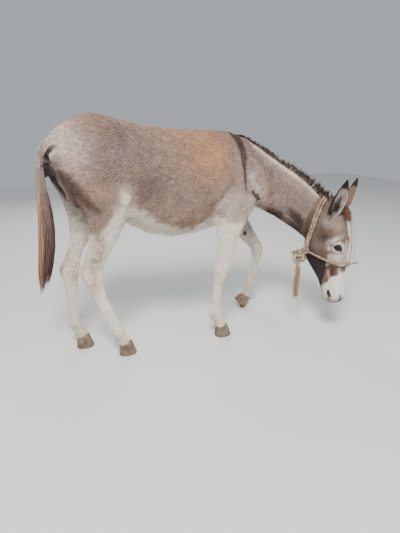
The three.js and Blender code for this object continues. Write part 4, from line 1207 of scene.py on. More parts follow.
    def nose():
        """Under the noseband: mottled brown, a red-brown wedge, a pink streak beside it, and the noseband's
        painted shadow.
        """
        nose_top = head * ramp(out + 0.3 * ragged, -66, -46) * ramp(down, 246, 256)
        paint(0.8 * nose_top * (0.9 + 0.3 * fine), 112, 86, 76)
        paint(0.6 * nose_top * ramp(out, -16, -4) * ramp(streaks + 0.4 * spots, -0.2, 0.5), 178, 152, 142)
        from_wedge = head_distance(points, [[262, 46, -29], [294, 43, -25], [313, 41, -20]]) + 2 * fine
        paint(0.9 * head * hill(from_wedge, 0, np.interp(down, [262, 316], [17, 6])), 76, 44, 38)
        streak([[273, 48, -51], [300, 45, -41], [322, 42, -32]], 7, 0.75, 190, 152, 144)
        streak([[254, 33, 0], [276, 28, 3], [298, 21, 6]], 6, 0.8, 224, 207, 200)
        spot(274, 9, 11, 12, 0.8, 124, 96, 84)
        # Painted shadow of the noseband: a thin dark line under it.
        paint(0.45 * head * hill(under_rope + 0.3 * ragged, 9, 5) * ramp(out, -60, -40), 74, 56, 50)

    def muzzle():
        """White, with grey-brown lips and nostril rims, and painted shade on its rear side, under the chin,
        along the mouth and deep in the nostrils.
        """
        white_from = np.interp(out, [-115, -85, -56, -46, -26, -13, -4, 4, 12, 25],
                               [378, 357, 344, 333, 322, 313, 301, 294, 284, 272])
        white_from += 2 * ragged + 9 * streaks
        white = head * ramp(down, white_from - 5, white_from + 6)
        paint(0.97 * white, 236, 229, 220)
        # Painted shade: greyer towards the muzzle's rear side.
        paint(0.75 * white * ramp(out, -38, -84), 158, 152, 148)
        paint(0.4 * white * ramp(spots, 0.35, 0.8) * ramp(down, 345, 325), 150, 132, 124)
        paint(0.6 * head * hill(nostril_edge(points), 1.25, 0.45), 120, 100, 94)
        # Painted shade under the chin.
        paint(0.65 * head * ramp(down, 398, 426) * ramp(out + 5 * fine, -66, -44), 152, 134, 128)
        paint(0.9 * head * hill(across, 0, 9) * ramp(down, 384, 402) * ramp(out, -20, 0), 72, 56, 52)
        spot(418, 44, -24, 15, 0.6, 100, 87, 83)
        lip = hill(across, 0, 30) * ramp(down + 4 * fine, 414, 428) * ramp(out, -24, -8)
        paint(0.75 * head * lip, 92, 74, 69)
        # Painted shade in the groove where the lips meet.
        paint(0.9 * head * hill(mouth_distance(points) / MM, 0, 5), 70, 55, 51)
        paint(0.6 * head * ramp(down, 434, 447), 104, 86, 80)
        # Painted shade deep in the nostrils.
        paint(head * ramp(nostril_edge(points), 1.15, 0.9), 26, 19, 18)

    def lids():
        """Dark skin at both corners of each eye, and the lids' own edge."""
        edge = eye_edge(points)
        low_lid = np.zeros(len(points), bool)
        for hand in (1, -1):
            u, t, w, e = eye_place(points, hand)
            tear = hill(u, 21 * MM, 7 * MM) * hill(t + 0.5 * (u - LID_HALF), -3 * MM, 4.5 * MM)
            paint(0.9 * head * tear * (w > -12 * MM) * (e < 9), 46, 35, 33)
            rear_corner = hill(u, -24 * MM, 9 * MM) * hill(t, 2 * MM, 4.5 * MM)
            paint(0.9 * head * rear_corner * (w > -20 * MM), 44, 34, 33)
            low_lid |= (t < -0.5 * MM) & (e < 9)
        paint(0.95 * head * ramp(edge, 2.35, 1.75) * np.where(low_lid, ramp(edge, 1.9, 1.5), 1), 30, 23, 23)

    def ears():
        share, turn, inside = ear_colour_place(points)
        turn = turn + 0.05 * fine
        outside, inside = ear * (1 - inside), ear * inside
        paint(0.9 * outside, 118, 94, 82)
        paint(0.7 * outside * ramp(turn, 0.1, 0.5) * ramp(share, 0.2, 0.35), 150, 116, 98)
        paint(0.8 * outside * ramp(share, 0.36, 0.06), 168, 153, 148)
        paint(0.85 * outside * hill(turn, 0.70, 0.09) * ramp(share, 0.25, 0.4), 88, 50, 42)
        paint(0.95 * inside, 184, 172, 166)
        paint(0.8 * inside * ramp(turn, 0.35, 0.65), 226, 210, 192)
        lower = ramp(share + 0.25 * turn + 0.08 * fine, 0.50, 0.34)
        paint(0.9 * inside * lower * ramp(turn, 0.6, 0.45), 52, 40, 36)
        paint(0.6 * inside * hill(turn, -0.12, 0.09) * hill(share, 0.26, 0.12), 170, 150, 134)
        fold = hill(turn, 0.22 - 0.4 * (share - 0.4), 0.15) * ramp(share, 0.68, 0.5)
        paint(0.92 * inside * fold, 42, 31, 29)
        paint(0.95 * ear * ramp(turn, -0.30, -0.44) * ramp(share, 0.06, 0.16), 32, 26, 26)
        paint(0.9 * ear * ramp(turn, 0.80, 0.90) * ramp(share, 0.12, 0.25), 230, 217, 202)
        paint(0.96 * ear * ramp(share + 0.03 * fine - 0.06 * ramp(turn, 0, -1), 0.74, 0.80), 30, 25, 26)

    for layer in (barrel_and_rump, shoulder, stripes, white_below, leg_marks, shade_in_cleft,
                  neck_from_crest_to_throat, dock, brow_and_cheek, mask, nose, muzzle, lids, ears):
        layer()
    return np.clip(colour, 0.002, 1)


def set_tint(piece, colours):
    layer = piece.data.attributes.new("tint", "FLOAT_COLOR", "POINT")
    rgba = np.ones((len(colours), 4), np.float32)
    rgba[:, :3] = colours
    layer.data.foreach_set("color", rgba.ravel())


def tinted_material(name, roughness, grain, bump, sheen=0.0):
    """The tint of a mesh, varied by noise; grain is the noise's scale, bump its scale, strength and depth."""
    material, tree, shader = new_material(name, roughness)
    shader.inputs["Specular IOR Level"].default_value = 0.25
    if sheen:
        shader.inputs["Sheen Weight"].default_value = sheen
        shader.inputs["Sheen Roughness"].default_value = 0.5
    tint = tree.nodes.new("ShaderNodeAttribute")
    tint.attribute_name = "tint"
    value = tree.nodes.new("ShaderNodeMapRange")
    for socket, number in (("From Min", 0.3), ("From Max", 0.7), ("To Min", 0.82), ("To Max", 1.15)):
        value.inputs[socket].default_value = number
    shade = tree.nodes.new("ShaderNodeVectorMath")
    shade.operation = "SCALE"
    tree.links.new(object_noise(tree, grain, 5.0).outputs["Fac"], value.inputs["Value"])
    tree.links.new(tint.outputs["Color"], shade.inputs[0])
    tree.links.new(value.outputs["Result"], shade.inputs["Scale"])
    tree.links.new(shade.outputs["Vector"], shader.inputs["Base Color"])
    add_bump(tree, shader, *bump)
    return material


skin_part = spread(kind_of(verts), edges_of(tris), 6)
skin_normal = normals_of(verts, tris)
skin_material = tinted_material("skin_hair", 0.8, 300.0, (700.0, 0.5, 0.0012))
skin = make_piece("skin", verts, tris, skin_material)
set_tint(skin, coat_colour(verts, skin_normal, skin_part) * 0.9)
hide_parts(*FLESH, *EARS)


# ---- eyes ------------------------------------------------------------------------------------------
def eyeball(hand, name, material):
    """A globe with its iris and level pupil coloured by place."""
    centre, outward, _, _ = eye_frame(hand)
    rings, sides = 47, 64
    tilt = np.linspace(0, math.pi, rings + 2)[1:-1, None, None]
    turn = np.linspace(0, 2 * math.pi, sides, endpoint=False)[None, :, None]
    level = unit(np.cross(UP, outward))
    high = np.cross(outward, level)
    ring = outward * np.cos(tilt) + (level * np.cos(turn) + high * np.sin(turn)) * np.sin(tilt)
    points = np.vstack([ring.reshape(-1, 3), outward[None], -outward[None]])
    faces = [f[:, ::-1] for f in ring_faces(rings, sides)]
    a, b = dot(points, level), dot(points, high)
    reach = np.hypot(a, b)
    colour = np.tile(srgb(46, 30, 22), (len(points), 1))
    for amount, rgb in (
        (ramp(reach, 0.62, 0.74), (20, 14, 12)),
        (ramp(reach, 0.8, 0.92), (84, 66, 58)),
        (hill(reach, 0.55, 0.12), (44, 28, 20)),
        (ramp(np.hypot(a / 0.42, b / 0.22), 1.1, 0.9), (6, 6, 8)),
    ):
        amount = np.where(dot(points, outward) > 0, amount, 1.0)
        colour += amount[:, None] * (srgb(*rgb) - colour)
    piece = make_piece(name + "_globe", centre + points * EYE_RADIUS * 0.995, faces, material)
    set_tint(piece, colour)
    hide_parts(name)


eye_material = tinted_material("eye_wet", 0.06, 900.0, (300.0, 0.02, 0.0001))
eye_shader = eye_material.node_tree.nodes["Principled BSDF"]
eye_shader.inputs["Coat Weight"].default_value = 0.35
eye_shader.inputs["Coat Roughness"].default_value = 0.03
eyeball(1, "eye_left", eye_material)
eyeball(-1, "eye_right", eye_material)


# ---- hooves ----------------------------------------------------------------------------------------
HOOVES = [s["node"] for s in frame["record"]["subparts"] if s["material_slot"] == "hoof"]
HOOF_CELL = 2.6 * MM
HORN_DARK, HORN_LIGHT, HORN_DUSTY = srgb(96, 80, 68), srgb(136, 118, 100), srgb(112, 98, 78)


def hoof(name, material):
    """A hoof with the rings of its growth, dusty at the ground."""
    points, faces = largest_body(*remeshed(*read_mesh(NODES[name].data), HOOF_CELL))
    sole = points[:, 2] < 1.4 * MM
    points = spread(points, edges_of(faces), 10, back=-0.52)
    points[:, 2] = np.where(sole, np.minimum(points[:, 2], 0.3 * MM), points[:, 2])
    points[:, 2] = np.maximum(points[:, 2], 0)
    height = points[:, 2] - points[:, 2].min()
    normal = normals_of(points, faces)
    wall = ramp(height, 2 * MM, 5 * MM) * ramp(np.abs(normal[:, 2]), 0.9, 0.6)
    rings = 0.16 * np.sin(height / MM * 0.95 + 2.5 * mottle(points, 0.03, 4))
    rings = rings + 0.25 * mottle(points, 0.006, 8)
    points = points + normal * (wall * rings * MM)[:, None]
    piece = make_piece(name + "_horn", points, faces, material)
    grown = np.sin(height / MM * 0.6 + 2.5 * mottle(points, 0.03, 4))
    tone = mottle(points, 0.02, 31) + 0.5 * mottle(points * (1, 1, 0.3), 0.004, 12) + 0.25 * grown
    colour = HORN_DARK + ramp(tone, -0.9, 0.9)[:, None] * (HORN_LIGHT - HORN_DARK)
    colour += ramp(height, 12 * MM, 0)[:, None] * 0.6 * (HORN_DUSTY - colour)
    set_tint(piece, colour)
    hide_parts(name)


horn = tinted_material("hoof_horn", 0.55, 260.0, (420.0, 0.35, 0.0008))
for name in HOOVES:
    hoof(name, horn)


# ---- hair as blades: closed, three-sided, tapering to a point -------------------------------------------
def blades(paths, widths, up, thick=0.4):
    """Vertices and triangles of one blade along each row of paths; widths are for all points but the tip."""
    n, k, _ = paths.shape
    ahead = unit(np.diff(paths, axis=1))
    across = unit(np.cross(ahead, up if up.ndim == 3 else up[:, None]))
    width = np.broadcast_to(widths, (n, k - 1))[:, :, None]
    base = paths[:, :-1]
    ridge = base + np.cross(across, ahead) * width * thick
    ring = np.stack([base + across * width / 2, base - across * width / 2, ridge], 2)
    verts = np.concatenate([ring.reshape(n, -1, 3), paths[:, -1:]], 1)
    turns, tip = ((0, 1), (1, 2), (2, 0)), 3 * (k - 1)
    faces = [(0, 2, 1)]
    for j in range(0, tip - 3, 3):
        for a, b in turns:
            faces += [(j + a, j + b, j + 3 + b), (j + a, j + 3 + b, j + 3 + a)]
    faces += [(tip - 3 + a, tip - 3 + b, tip) for a, b in turns]
    faces = turned_outward(verts[0] - verts[0].mean(0), np.array(faces))
    faces = faces[None] + (np.arange(n) * (tip + 1))[:, None, None]
    return verts.reshape(-1, 3), faces.reshape(-1, 3)


def blade_tint(roots, tips, points):
    """From the root's colour to the tip's, for each vertex of blades with so many points."""
    share = np.append(np.repeat(np.linspace(0, 1, points)[:-1], 3), 1.0)[None, :, None]
    return (roots[:, None] * (1 - share) + tips[:, None] * share).reshape(-1, 3)


PATCH = 0.003  # side of one tuft's place on the map for baking


def set_bake_map(piece, centres, points):
    """OFBake: each blade is a small patch about its root's place."""
    across = np.append(np.tile([-0.5, 0.5, 0.0], points - 1), 0.0)
    along = np.append(np.repeat(np.linspace(-0.5, 0.5, points)[:-1], 3), 0.5)
    place = centres[:, None] + np.stack([across, along], 1)[None] * PATCH
    place = place.reshape(-1, 2)
    loops = np.zeros(len(piece.data.loops), np.int32)
    piece.data.loops.foreach_get("vertex_index", loops)
    layer = piece.data.uv_layers.new(name="OFBake")
    layer.data.foreach_set("uv", place[loops].astype(np.float32).ravel())


def unwrapped(points, normals):
    """Places on a map of six tiles, one for each way that the surface faces."""
    low, high = points.min(0), points.max(0)
    axis = np.abs(normals).argmax(1)
    away = normals[np.arange(len(points)), axis] > 0
    scaled = (points - low) / (high - low).max()
    first = scaled[np.arange(len(points)), (axis + 1) % 3]
    second = scaled[np.arange(len(points)), (axis + 2) % 3]
    tile = np.stack([axis, away.astype(int)], 1)
    size = np.array([1 / 3, 1 / 2])
    return (tile + 0.02 + 0.96 * np.stack([first, second], 1)) * size


# ---- the coat --------------------------------------------------------------------------------------
chance = np.random.default_rng(7)
skin_verts, skin_tris = verts, tris


def lie_of_coat(points, part):
    """The way the hair points, before it is laid on the skin."""
    trunk, neck, head, ear, tail, fore, hind = part.T[:, :, None]
    z = points[:, 2:3]
    back = unit(np.array([-1.0, 0, -0.3]))
    down = np.array([-0.12, 0, -1.0])
    along, _ = neck_place(points)
    heading = -unit(table_at(along, range(8), NECK_CREST - np.roll(NECK_CREST, 1, 0)))
    heading[along < 1] = unit([-0.9, 0.1, 0.2])
    neckward = heading + np.array([0, 0, -0.55])
    upper = ramp(z, 0.55, 0.8)
    leg = down * (1 - upper) + back * upper
    face, _ = head_axes(head_place(points)[0])
    out = np.zeros((len(points), 3))
    for hand in (1, -1):
        _, along_ear, _, _ = ear_frame(hand)
        out += along_ear * (np.sign(head_place(points)[1]) == hand)[:, None]
    ends = head * (HEAD_DOWN - 0.25 * face) + ear * out + tail * down
    return trunk * back + neck * unit(neckward) + ends + (fore + hind) * leg


skin_lie = spread(lie_of_coat(skin_verts, skin_part), edges_of(skin_tris), 12)


def scattered(spacing):
    """Roots on the skin, about spacing (one for each triangle) apart: triangle and weights of its corners."""
    p = skin_verts[skin_tris]
    area = np.linalg.norm(np.cross(p[:, 1] - p[:, 0], p[:, 2] - p[:, 0]), axis=1) / 2
    wanted = area / spacing**2
    count = np.floor(wanted + chance.random(len(wanted))).astype(int)
    which = np.repeat(np.arange(len(skin_tris)), count)
    a, b = chance.random((2, len(which)))
    over = a + b > 1
    a[over], b[over] = 1 - a[over], 1 - b[over]
    return which, np.stack([1 - a - b, a, b], 1)


def at_roots(values, which, weights):
    return (values[skin_tris[which]] * weights.reshape(-1, 3, *[1] * (values.ndim - 1))).sum(1)


TUFT_SPACING = np.array([3.3, 3.2, 2.3, 2.3, 2.8, 3.0, 3.0]) * MM  # for each kind, as in the next two
TUFT_LENGTH = np.array([13, 12, 7.0, 7.0, 12, 11, 11]) * MM
TUFT_WIDTH = np.array([2.3, 2.2, 1.5, 1.5, 2.2, 2.1, 2.1]) * MM
spacing = skin_part @ TUFT_SPACING
spacing *= 1 - 0.14 * ramp(skin_verts[:, 2], 0.5, 0.4) * skin_part[:, 5:].sum(1)
muzzle = ramp(head_place(skin_verts)[0], 0.33, 0.40) * skin_part[:, 2]
spacing *= 1 - 0.2 * muzzle
which, weights = scattered(spacing[skin_tris].mean(1))
root = at_roots(skin_verts, which, weights)
part = at_roots(skin_part, which, weights)
normal = unit(at_roots(normals_of(skin_verts, skin_tris), which, weights))
lie = at_roots(skin_lie, which, weights)
_, _, inside_ear = ear_colour_place(root)
keep = (eye_edge(root) >= 1.7) & (nostril_edge(root) >= 1.25) & (mouth_distance(root) >= 3 * MM)
keep &= root[:, 2] >= 0.055
root, part, normal, lie, inside_ear = (v[keep] for v in (root, part, normal, lie, inside_ear))
count = len(root)

lie = lie - dot(lie, normal)[:, None] * normal
lie = unit(unit(lie) + 0.22 * chance.normal(size=(count, 3)))
lie = unit(lie - dot(lie, normal)[:, None] * normal)
trunk, neck, head, ear, tail, fore, hind = part.T
leg_low = ramp(root[:, 2], 0.55, 0.35) * (fore + hind)
face_down = head_place(root)[0]
length = part @ TUFT_LENGTH
length *= 1 - 0.38 * leg_low
length *= 1 - 0.35 * ramp(face_down, 0.31, 0.38) * head
belly = hill(root[:, 2] - np.interp(root[:, 0], *np.array(WHITE_EDGE).T), 0, 0.035) * trunk
length *= 1 + 0.7 * belly + 0.5 * inside_ear * ear
length *= np.exp(0.2 * chance.normal(size=count))
width = part @ TUFT_WIDTH * (1 - 0.2 * leg_low)
lift = 0.16 + 0.10 * np.abs(chance.normal(size=count)) + 0.08 * layered(root, 0.03, 41) + 0.12 * belly
tip = root + lie * (length * np.cos(lift))[:, None] + normal * (length * np.sin(lift))[:, None]
start = root - normal * 0.5 * MM
colour = coat_colour(root, normal, part)
shade = 0.26 * chance.normal(size=count) + 0.26 * layered(root, 0.014, 51) + 0.08 * layered(root, 0.03, 53)
shade = np.exp(shade)
warmth = 1 + 0.05 * chance.normal(size=(count, 1)) * np.array([1, 0, -1])
colour = np.clip(colour * shade[:, None] * warmth, 0.002, 1)
tips = np.clip(colour * 1.12, 0, 1)

hair_material = tinted_material("coat_hair", 0.72, 120.0, (900.0, 0.2, 0.0004), sheen=0.15)
left = root[:, 1] > MIDDLE
head_left = head_place(root)[1] > 0
neck_along, _ = neck_place(root)
neck_middle = np.interp(neck_along, range(8), (NECK_CREST[:, 1] + NECK_UNDER[:, 1]) / 2)
neck_left = root[:, 1] > neck_middle
largest = part.argmax(1)
rear = root[:, 0] < -0.19
groups = {
    "trunk_rear_right": (largest == 0) & rear & ~left, "trunk_rear_left": (largest == 0) & rear & left,
    "trunk_front_right": (largest == 0) & ~rear & ~left, "trunk_front_left": (largest == 0) & ~rear & left,
    "neck_right": (largest == 1) & ~neck_left, "neck_left": (largest == 1) & neck_left,
    "head_right": (largest == 2) & ~head_left, "head_left": (largest == 2) & head_left,
    "ears": largest == 3, "tail": largest == 4,
    "foreleg_right": (largest == 5) & ~left, "foreleg_left": (largest == 5) & left,
    "hindleg_right": (largest == 6) & ~left, "hindleg_left": (largest == 6) & left,
}
for name, chosen in groups.items():
    paths = np.stack([start[chosen], tip[chosen]], 1)
    points, faces = blades(paths, width[chosen][:, None], normal[chosen])
    piece = make_piece("coat_" + name, points, faces, hair_material, smooth=False)
    set_tint(piece, blade_tint(colour[chosen] * 0.86, tips[chosen], 2))
    set_bake_map(piece, unwrapped(root[chosen], normal[chosen]), 2)


# ---- long hair -------------------------------------------------------------------------------------
def lock_piece(name, groups, material, slot, *nodes):
    """One piece from several (paths, widths, up, root colours, tip colours) of blades."""
    parts, tints = [], []
    for paths, widths, up, roots, tips in groups:
        parts.append(blades(paths, widths, up))
        tints.append(blade_tint(roots, tips, paths.shape[1]))
    points, faces = joined(parts)
    piece = make_piece(name, points, faces, material, smooth=False)
    set_tint(piece, np.vstack(tints))
    if nodes:
        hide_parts(*nodes)
    return piece


def between(colours, amount):
    """Colours along a short list of them, for amounts from 0 to 1."""
    return table_at(amount, np.linspace(0, 1, len(colours)), [srgb(*c) for c in colours])


def thinned(width, points):
    """Widths along a lock, which narrows from its root to less than a third before the tip."""
    return np.reshape(width, (-1, 1)) * np.linspace(1, 0.3, points - 1)


def growing(start, aim, reach, points, bend=0.0):
    """Paths of so many points, each as long as its reach, that set out along aim and then bend."""
    t = np.linspace(0, 1, points)[None, :, None]
    return start[:, None] + reach[:, None, None] * t * (aim[:, None] + t * bend)


long_hair = tinted_material("long_hair", 0.5, 150.0, (1200.0, 0.2, 0.0004), sheen=0.1)

# the mane: ragged clumps along the crest
MANE = np.array([[0.3, 3, 5], [0.75, 6, 7], [1.3, 12, 9], [2, 17, 11], [3, 20, 12], [4, 25, 12], [5, 33, 13],
                 [6, 42, 14], [6.6, 44, 14], [7, 32, 12], [7.3, 18, 10]])  # place, height, half-width


def mane_locks(count, clumps):
    clump = chance.integers(0, clumps, count)
    centre = np.sort(chance.uniform(0.3, 7.3, clumps))
    place = np.clip(centre[clump] + 0.045 * chance.normal(size=count), 0.25, 7.35)
    crest = table_at(place, range(8), NECK_CREST)
    ahead = unit(table_at(place, np.arange(7) + 0.5, np.diff(NECK_CREST, axis=0)))
    down = unit(table_at(place, range(8), NECK_UNDER - NECK_CREST))
    down = unit(down - dot(down, ahead)[:, None] * ahead)
    side = np.cross(ahead, -down)
    tall, half = (np.interp(place, MANE[:, 0], MANE[:, k]) * MM for k in (1, 2))
    offset = chance.uniform(-1, 1, count)
    ragged = chance.uniform(0.55, 1.08, clumps)[clump] * np.exp(0.12 * chance.normal(size=count))
    lean_along = (0.35 * chance.normal(size=clumps))[clump] + 0.10 * chance.normal(size=count) - 0.12
    lean_side = (0.30 * chance.normal(size=clumps))[clump] + 0.30 * offset + 0.12 * chance.normal(size=count)
    root = crest + side * (offset * half * 0.62)[:, None] + down * (6 * MM + 9 * MM * offset**2)[:, None]
    reach = (tall * (1 - 0.35 * offset**2) + 7 * MM) * ragged
    bend = ahead * lean_along[:, None] + side * lean_side[:, None]
    paths = growing(root, -down, reach, 5, bend[:, None])
    tone = np.clip(0.45 + 0.25 * chance.normal(size=clumps)[clump] + 0.18 * chance.normal(size=count), 0, 1)
    tone = 0.6 * tone + np.clip(1.6 * np.abs(offset) - 0.75, 0, 0.75) * chance.random(count)
    roots = between([(34, 26, 23), (52, 39, 34), (78, 61, 52), (176, 152, 138)], tone)
    tips = between([(42, 32, 28), (74, 57, 49), (122, 102, 90), (200, 178, 164)], tone)
    wide = 3.0 * MM * np.exp(0.2 * chance.normal(size=count))
    return paths, thinned(wide, 5), side, roots, tips


few = 1.0
lock_piece("mane_hair", [mane_locks(int(4200 * few), 150)], long_hair, "long_hair", "mane")

# the forelock: from between the ears over the brow
FORELOCK = np.array([[-50, -42, 12, 9], [-44, -22, 19, 13], [-26, 0, 25, 15], [0, 15, 26, 14],
                     [26, 24, 22, 10], [46, 28, 15, 6]]) * MM  # down, out, half-width, half-thickness


def forelock_locks(count):
    clump = chance.integers(0, 22, count)
    spot_side = chance.uniform(-1, 1, 22)[clump] * 0.8 + 0.12 * chance.normal(size=count)
    spot_deep = chance.uniform(-1, 0.9, 22)[clump] * 0.7 + 0.15 * chance.normal(size=count)
    first = chance.uniform(0, 1.6, count)
    last = np.clip(first + chance.uniform(2.2, 3.6, count), 0, 5)
    stations = first[:, None] + (last - first)[:, None] * np.linspace(0, 1, 7)
    middle, out, half, deep = (np.interp(stations, range(6), column) for column in FORELOCK.T)
    across = half * np.clip(spot_side, -1, 1)[:, None]
    out = out + deep * np.clip(spot_deep, -1.1, 0.95)[:, None]
    paths = head_point(middle, across, out)
    paths[:, 1:-1] += 1.0 * MM * chance.normal(size=(count, 5, 3))
    loose = np.array([0.0, 1.8, 4.2, 7.2])[:, None] * MM
    paths[:, 3:] += loose * chance.normal(size=(count, 1, 3))
    tone = np.clip(0.5 + 0.3 * chance.normal(size=count), 0, 1)
    roots = between([(46, 31, 27), (92, 60, 48)], tone)
    tips = between([(84, 54, 43), (154, 108, 84)], tone)
    face, _ = head_axes(np.zeros(count))
    return paths, thinned(2.6 * MM * np.exp(0.2 * chance.normal(size=count)), 7), face, roots, tips


lock_piece("forelock_hair", [forelock_locks(int(950 * few))], long_hair, "long_hair", "forelock")

# the tail: long strands from the lower dock, most of them in the outer layer
SWITCH = np.array([[-549, 872, 38, 42], [-555, 820, 36, 40], [-555, 775, 38, 42], [-553, 745, 45, 48],
                   [-551, 680, 57, 55], [-554, 600, 67, 60], [-563, 515, 70, 62], [-577, 435, 66, 56],
                   [-590, 375, 52, 44], [-602, 332, 28, 26], [-611, 306, 8, 8]], float)  # x, z, depth, width
SWITCH[:, 0] += SHIFT[0] / MM


def switch_strands(count, clumps):
    clump = chance.integers(0, clumps, count)
    turn = chance.uniform(0, 2 * math.pi, clumps)[clump] + 0.16 * chance.normal(size=count)
    deep = np.sqrt(chance.uniform(0.25, 1, clumps))[clump] * 0.93 + 0.05 * chance.normal(size=count)
    top = 738 + 122 * chance.random(count) ** 2.2
    end = np.clip(chance.uniform(330, 520, clumps)[clump] + 26 * chance.normal(size=count), 308, 600)
    side_lobe = np.cos(turn) > 0.3  # the front of the switch ends higher, and in locks
    end = np.where(side_lobe, np.maximum(end, 385 + 45 * chance.normal(size=clumps)[clump]), end)
    t = np.linspace(0, 1, 12)[None]
    z = top[:, None] + (end - top)[:, None] * t
    order = np.argsort(SWITCH[:, 1])
    x, depth, wide = (np.interp(z, SWITCH[order, 1], SWITCH[order, k]) for k in (0, 2, 3))
    gather = 1 + (np.clip(np.abs(deep), 0.3, 1)[:, None] - 1) * ramp(t, 0.0, 0.25)
    gather -= 0.2 * ramp(t, 0.1, 0.0)  # the roots lie inside the dock's coat
    wave = 0.10 * np.sin(t * chance.uniform(4, 11, count)[:, None] + chance.uniform(0, 6, count)[:, None])
    px = x + 0.5 * depth * np.cos(turn[:, None] + wave) * gather
    py = 0.5 * wide * np.sin(turn[:, None] + wave) * gather
    paths = np.stack([px * MM, MIDDLE + py * MM, z * MM], 2)
    up = np.stack([np.cos(turn), np.sin(turn), np.zeros(count)], 1)
    tone = np.clip(0.42 + 0.45 * chance.normal(size=clumps)[clump] + 0.15 * chance.normal(size=count), 0, 1)
    # Painted light and shade: the strands are lighter behind, where the light falls, and darker in front,
    # towards the legs.
    rear = np.clip(-np.cos(turn), 0, 1)
    roots = between([(74, 58, 55), (124, 96, 80), (176, 142, 112)], np.clip(tone + 0.3 * rear - 0.05, 0, 1))
    roots += 0.8 * ramp(top, 780, 840)[:, None] * (srgb(142, 126, 118) - roots)
    tips = between([(44, 33, 35), (94, 62, 50), (176, 120, 78)], np.clip(tone + 0.5 * rear - 0.15, 0, 1))
    return paths, thinned(3.4 * MM * np.exp(0.2 * chance.normal(size=count)), 12), up, roots, tips


lock_piece("tail_hair", [switch_strands(int(2300 * few), 170)], long_hair, "long_hair", "tail_switch")


# hair inside the ears, whiskers and lashes
def tint_rows(count, *rgb, vary=0.15):
    return np.clip(srgb(*rgb)[None] * np.exp(vary * chance.normal(size=(count, 1))), 0, 1)


def ear_hair(hand, count):
    root, along, opening, across = ear_frame(hand)
    share = chance.uniform(0.06, 0.8, count)
    sign = chance.choice([-1, 1], count)
    turn = sign * ear_reach(share) * chance.uniform(0.55, 0.97, count)
    start = ear_surface(hand, share, turn, ear_wall(share) * 0.8)
    middle = root + along * (share * EAR_LENGTH)[:, None] + opening * ear_bow(share)
    aim = 0.75 * unit(middle - start) + 0.6 * along + 0.35 * opening + 0.25 * chance.normal(size=(count, 3))
    reach = (9 + 9 * chance.random(count)) * MM * np.interp(share, [0, 0.15, 0.6, 1], [0.8, 1, 0.9, 0.4])
    paths = growing(start, unit(aim), reach, 4, 0.35 * along)
    dark = ((sign != hand) & (share < chance.uniform(0.25, 0.5, count)))[:, None]
    roots = np.where(dark, tint_rows(count, 62, 48, 44), tint_rows(count, 190, 175, 164))
    tips = np.where(dark, tint_rows(count, 92, 74, 66), tint_rows(count, 224, 211, 198))
    return paths, thinned(1.1 * MM, 4), along[None], roots, tips


def rim_hair(hand, count):
    """Fringe along the ear's edge and tip: dark behind, cream on the front rim."""
    share = chance.uniform(0.14, 1.0, count)
    sign = chance.choice([-1, 1], count)
    turn = sign * ear_reach(share) * chance.uniform(0.94, 1.0, count)
    light = ((sign == hand) & (share < 0.76))[:, None]
    start = ear_surface(hand, share, turn, ear_wall(share) * chance.uniform(0.1, 0.9, count))
    _, along, opening, _ = ear_frame(hand)
    aim = unit(along + 0.5 * opening + 0.3 * chance.normal(size=(count, 3)))
    paths = growing(start, aim, chance.uniform(5, 10, count) * MM, 3)
    roots = np.where(light, tint_rows(count, 210, 192, 174), tint_rows(count, 34, 27, 27))
    tips = np.where(light, tint_rows(count, 236, 224, 208), tint_rows(count, 48, 38, 37))
    return paths, thinned(1.5 * MM, 3), opening[None], roots, tips


for hand, name in ((1, "left"), (-1, "right")):
    hairs = [ear_hair(hand, int(1500 * few)), rim_hair(hand, int(900 * few))]
    lock_piece("ear_hair_" + name, hairs, long_hair, "coat")


def skin_nearest(points):
    hits = [skin_tree.find_nearest(p) for p in points]
    return np.array([h[0] for h in hits]), np.array([h[1] for h in hits])


skin_tree = BVHTree.FromPolygons(skin_verts.tolist(), skin_tris.tolist())


def whiskers(count):
    side = chance.choice([-1, 1], count)
    low = chance.random(count) < 0.55
    down = np.where(low, chance.uniform(405, 446, count), chance.uniform(360, 430, count))
    out = np.where(low, chance.uniform(-105, -60, count), chance.uniform(-45, 5, count))
    place = head_point(down * MM, side * chance.uniform(12, 55, count) * MM, out * MM)
    place, normal = skin_nearest(place)
    aim = unit(normal + 0.7 * HEAD_DOWN + 0.25 * chance.normal(size=(count, 3)))
    paths = growing(place - normal * 0.5 * MM, aim, chance.uniform(12, 30, count) * MM, 6, 0.25 * HEAD_DOWN)
    roots, tips = tint_rows(count, 150, 132, 120), tint_rows(count, 206, 190, 176)
    return paths, thinned(0.7 * MM, 6), normal, roots, tips


def lashes(hand, count):
    centre, outward, slit, upper = eye_frame(hand)
    share = chance.uniform(-0.85, 0.85, count)
    u = share * LID_HALF
    lift = LID_UPPER * (1 - share**2) + 0.6 * MM
    flat = centre + slit * u[:, None] + upper * lift[:, None]
    start = flat + outward * np.sqrt(np.maximum((EYE_RADIUS + 1.6 * MM) ** 2 - u**2 - lift**2, 0))[:, None]
    aim = outward * 0.75 - upper * 0.75 + slit * (0.4 * share)[:, None] + 0.1 * chance.normal(size=(count, 3))
    paths = growing(start, unit(aim), chance.uniform(7, 13, count) * MM, 5, -0.2 * UP)
    roots, tips = tint_rows(count, 30, 23, 22), tint_rows(count, 44, 34, 32)
    return paths, thinned(0.9 * MM, 5), outward[None], roots, tips


lock_piece("whiskers", [whiskers(120)], long_hair, "coat")
for hand, name in ((1, "left"), (-1, "right")):
    lock_piece("lashes_" + name, [lashes(hand, 90)], long_hair, "coat")

# ---- the halter ------------------------------------------------------------------------------------
ROPE_RADIUS = 5.5 * MM
NOSE_KNOT = head_point(251 * MM, 8 * MM, 22 * MM)
NOSE_END = head_point(241 * MM, 18 * MM, 62 * MM)
rope_twist = tinted_material("rope_straw", 0.85, 500.0, (1500.0, 0.6, 0.0006))


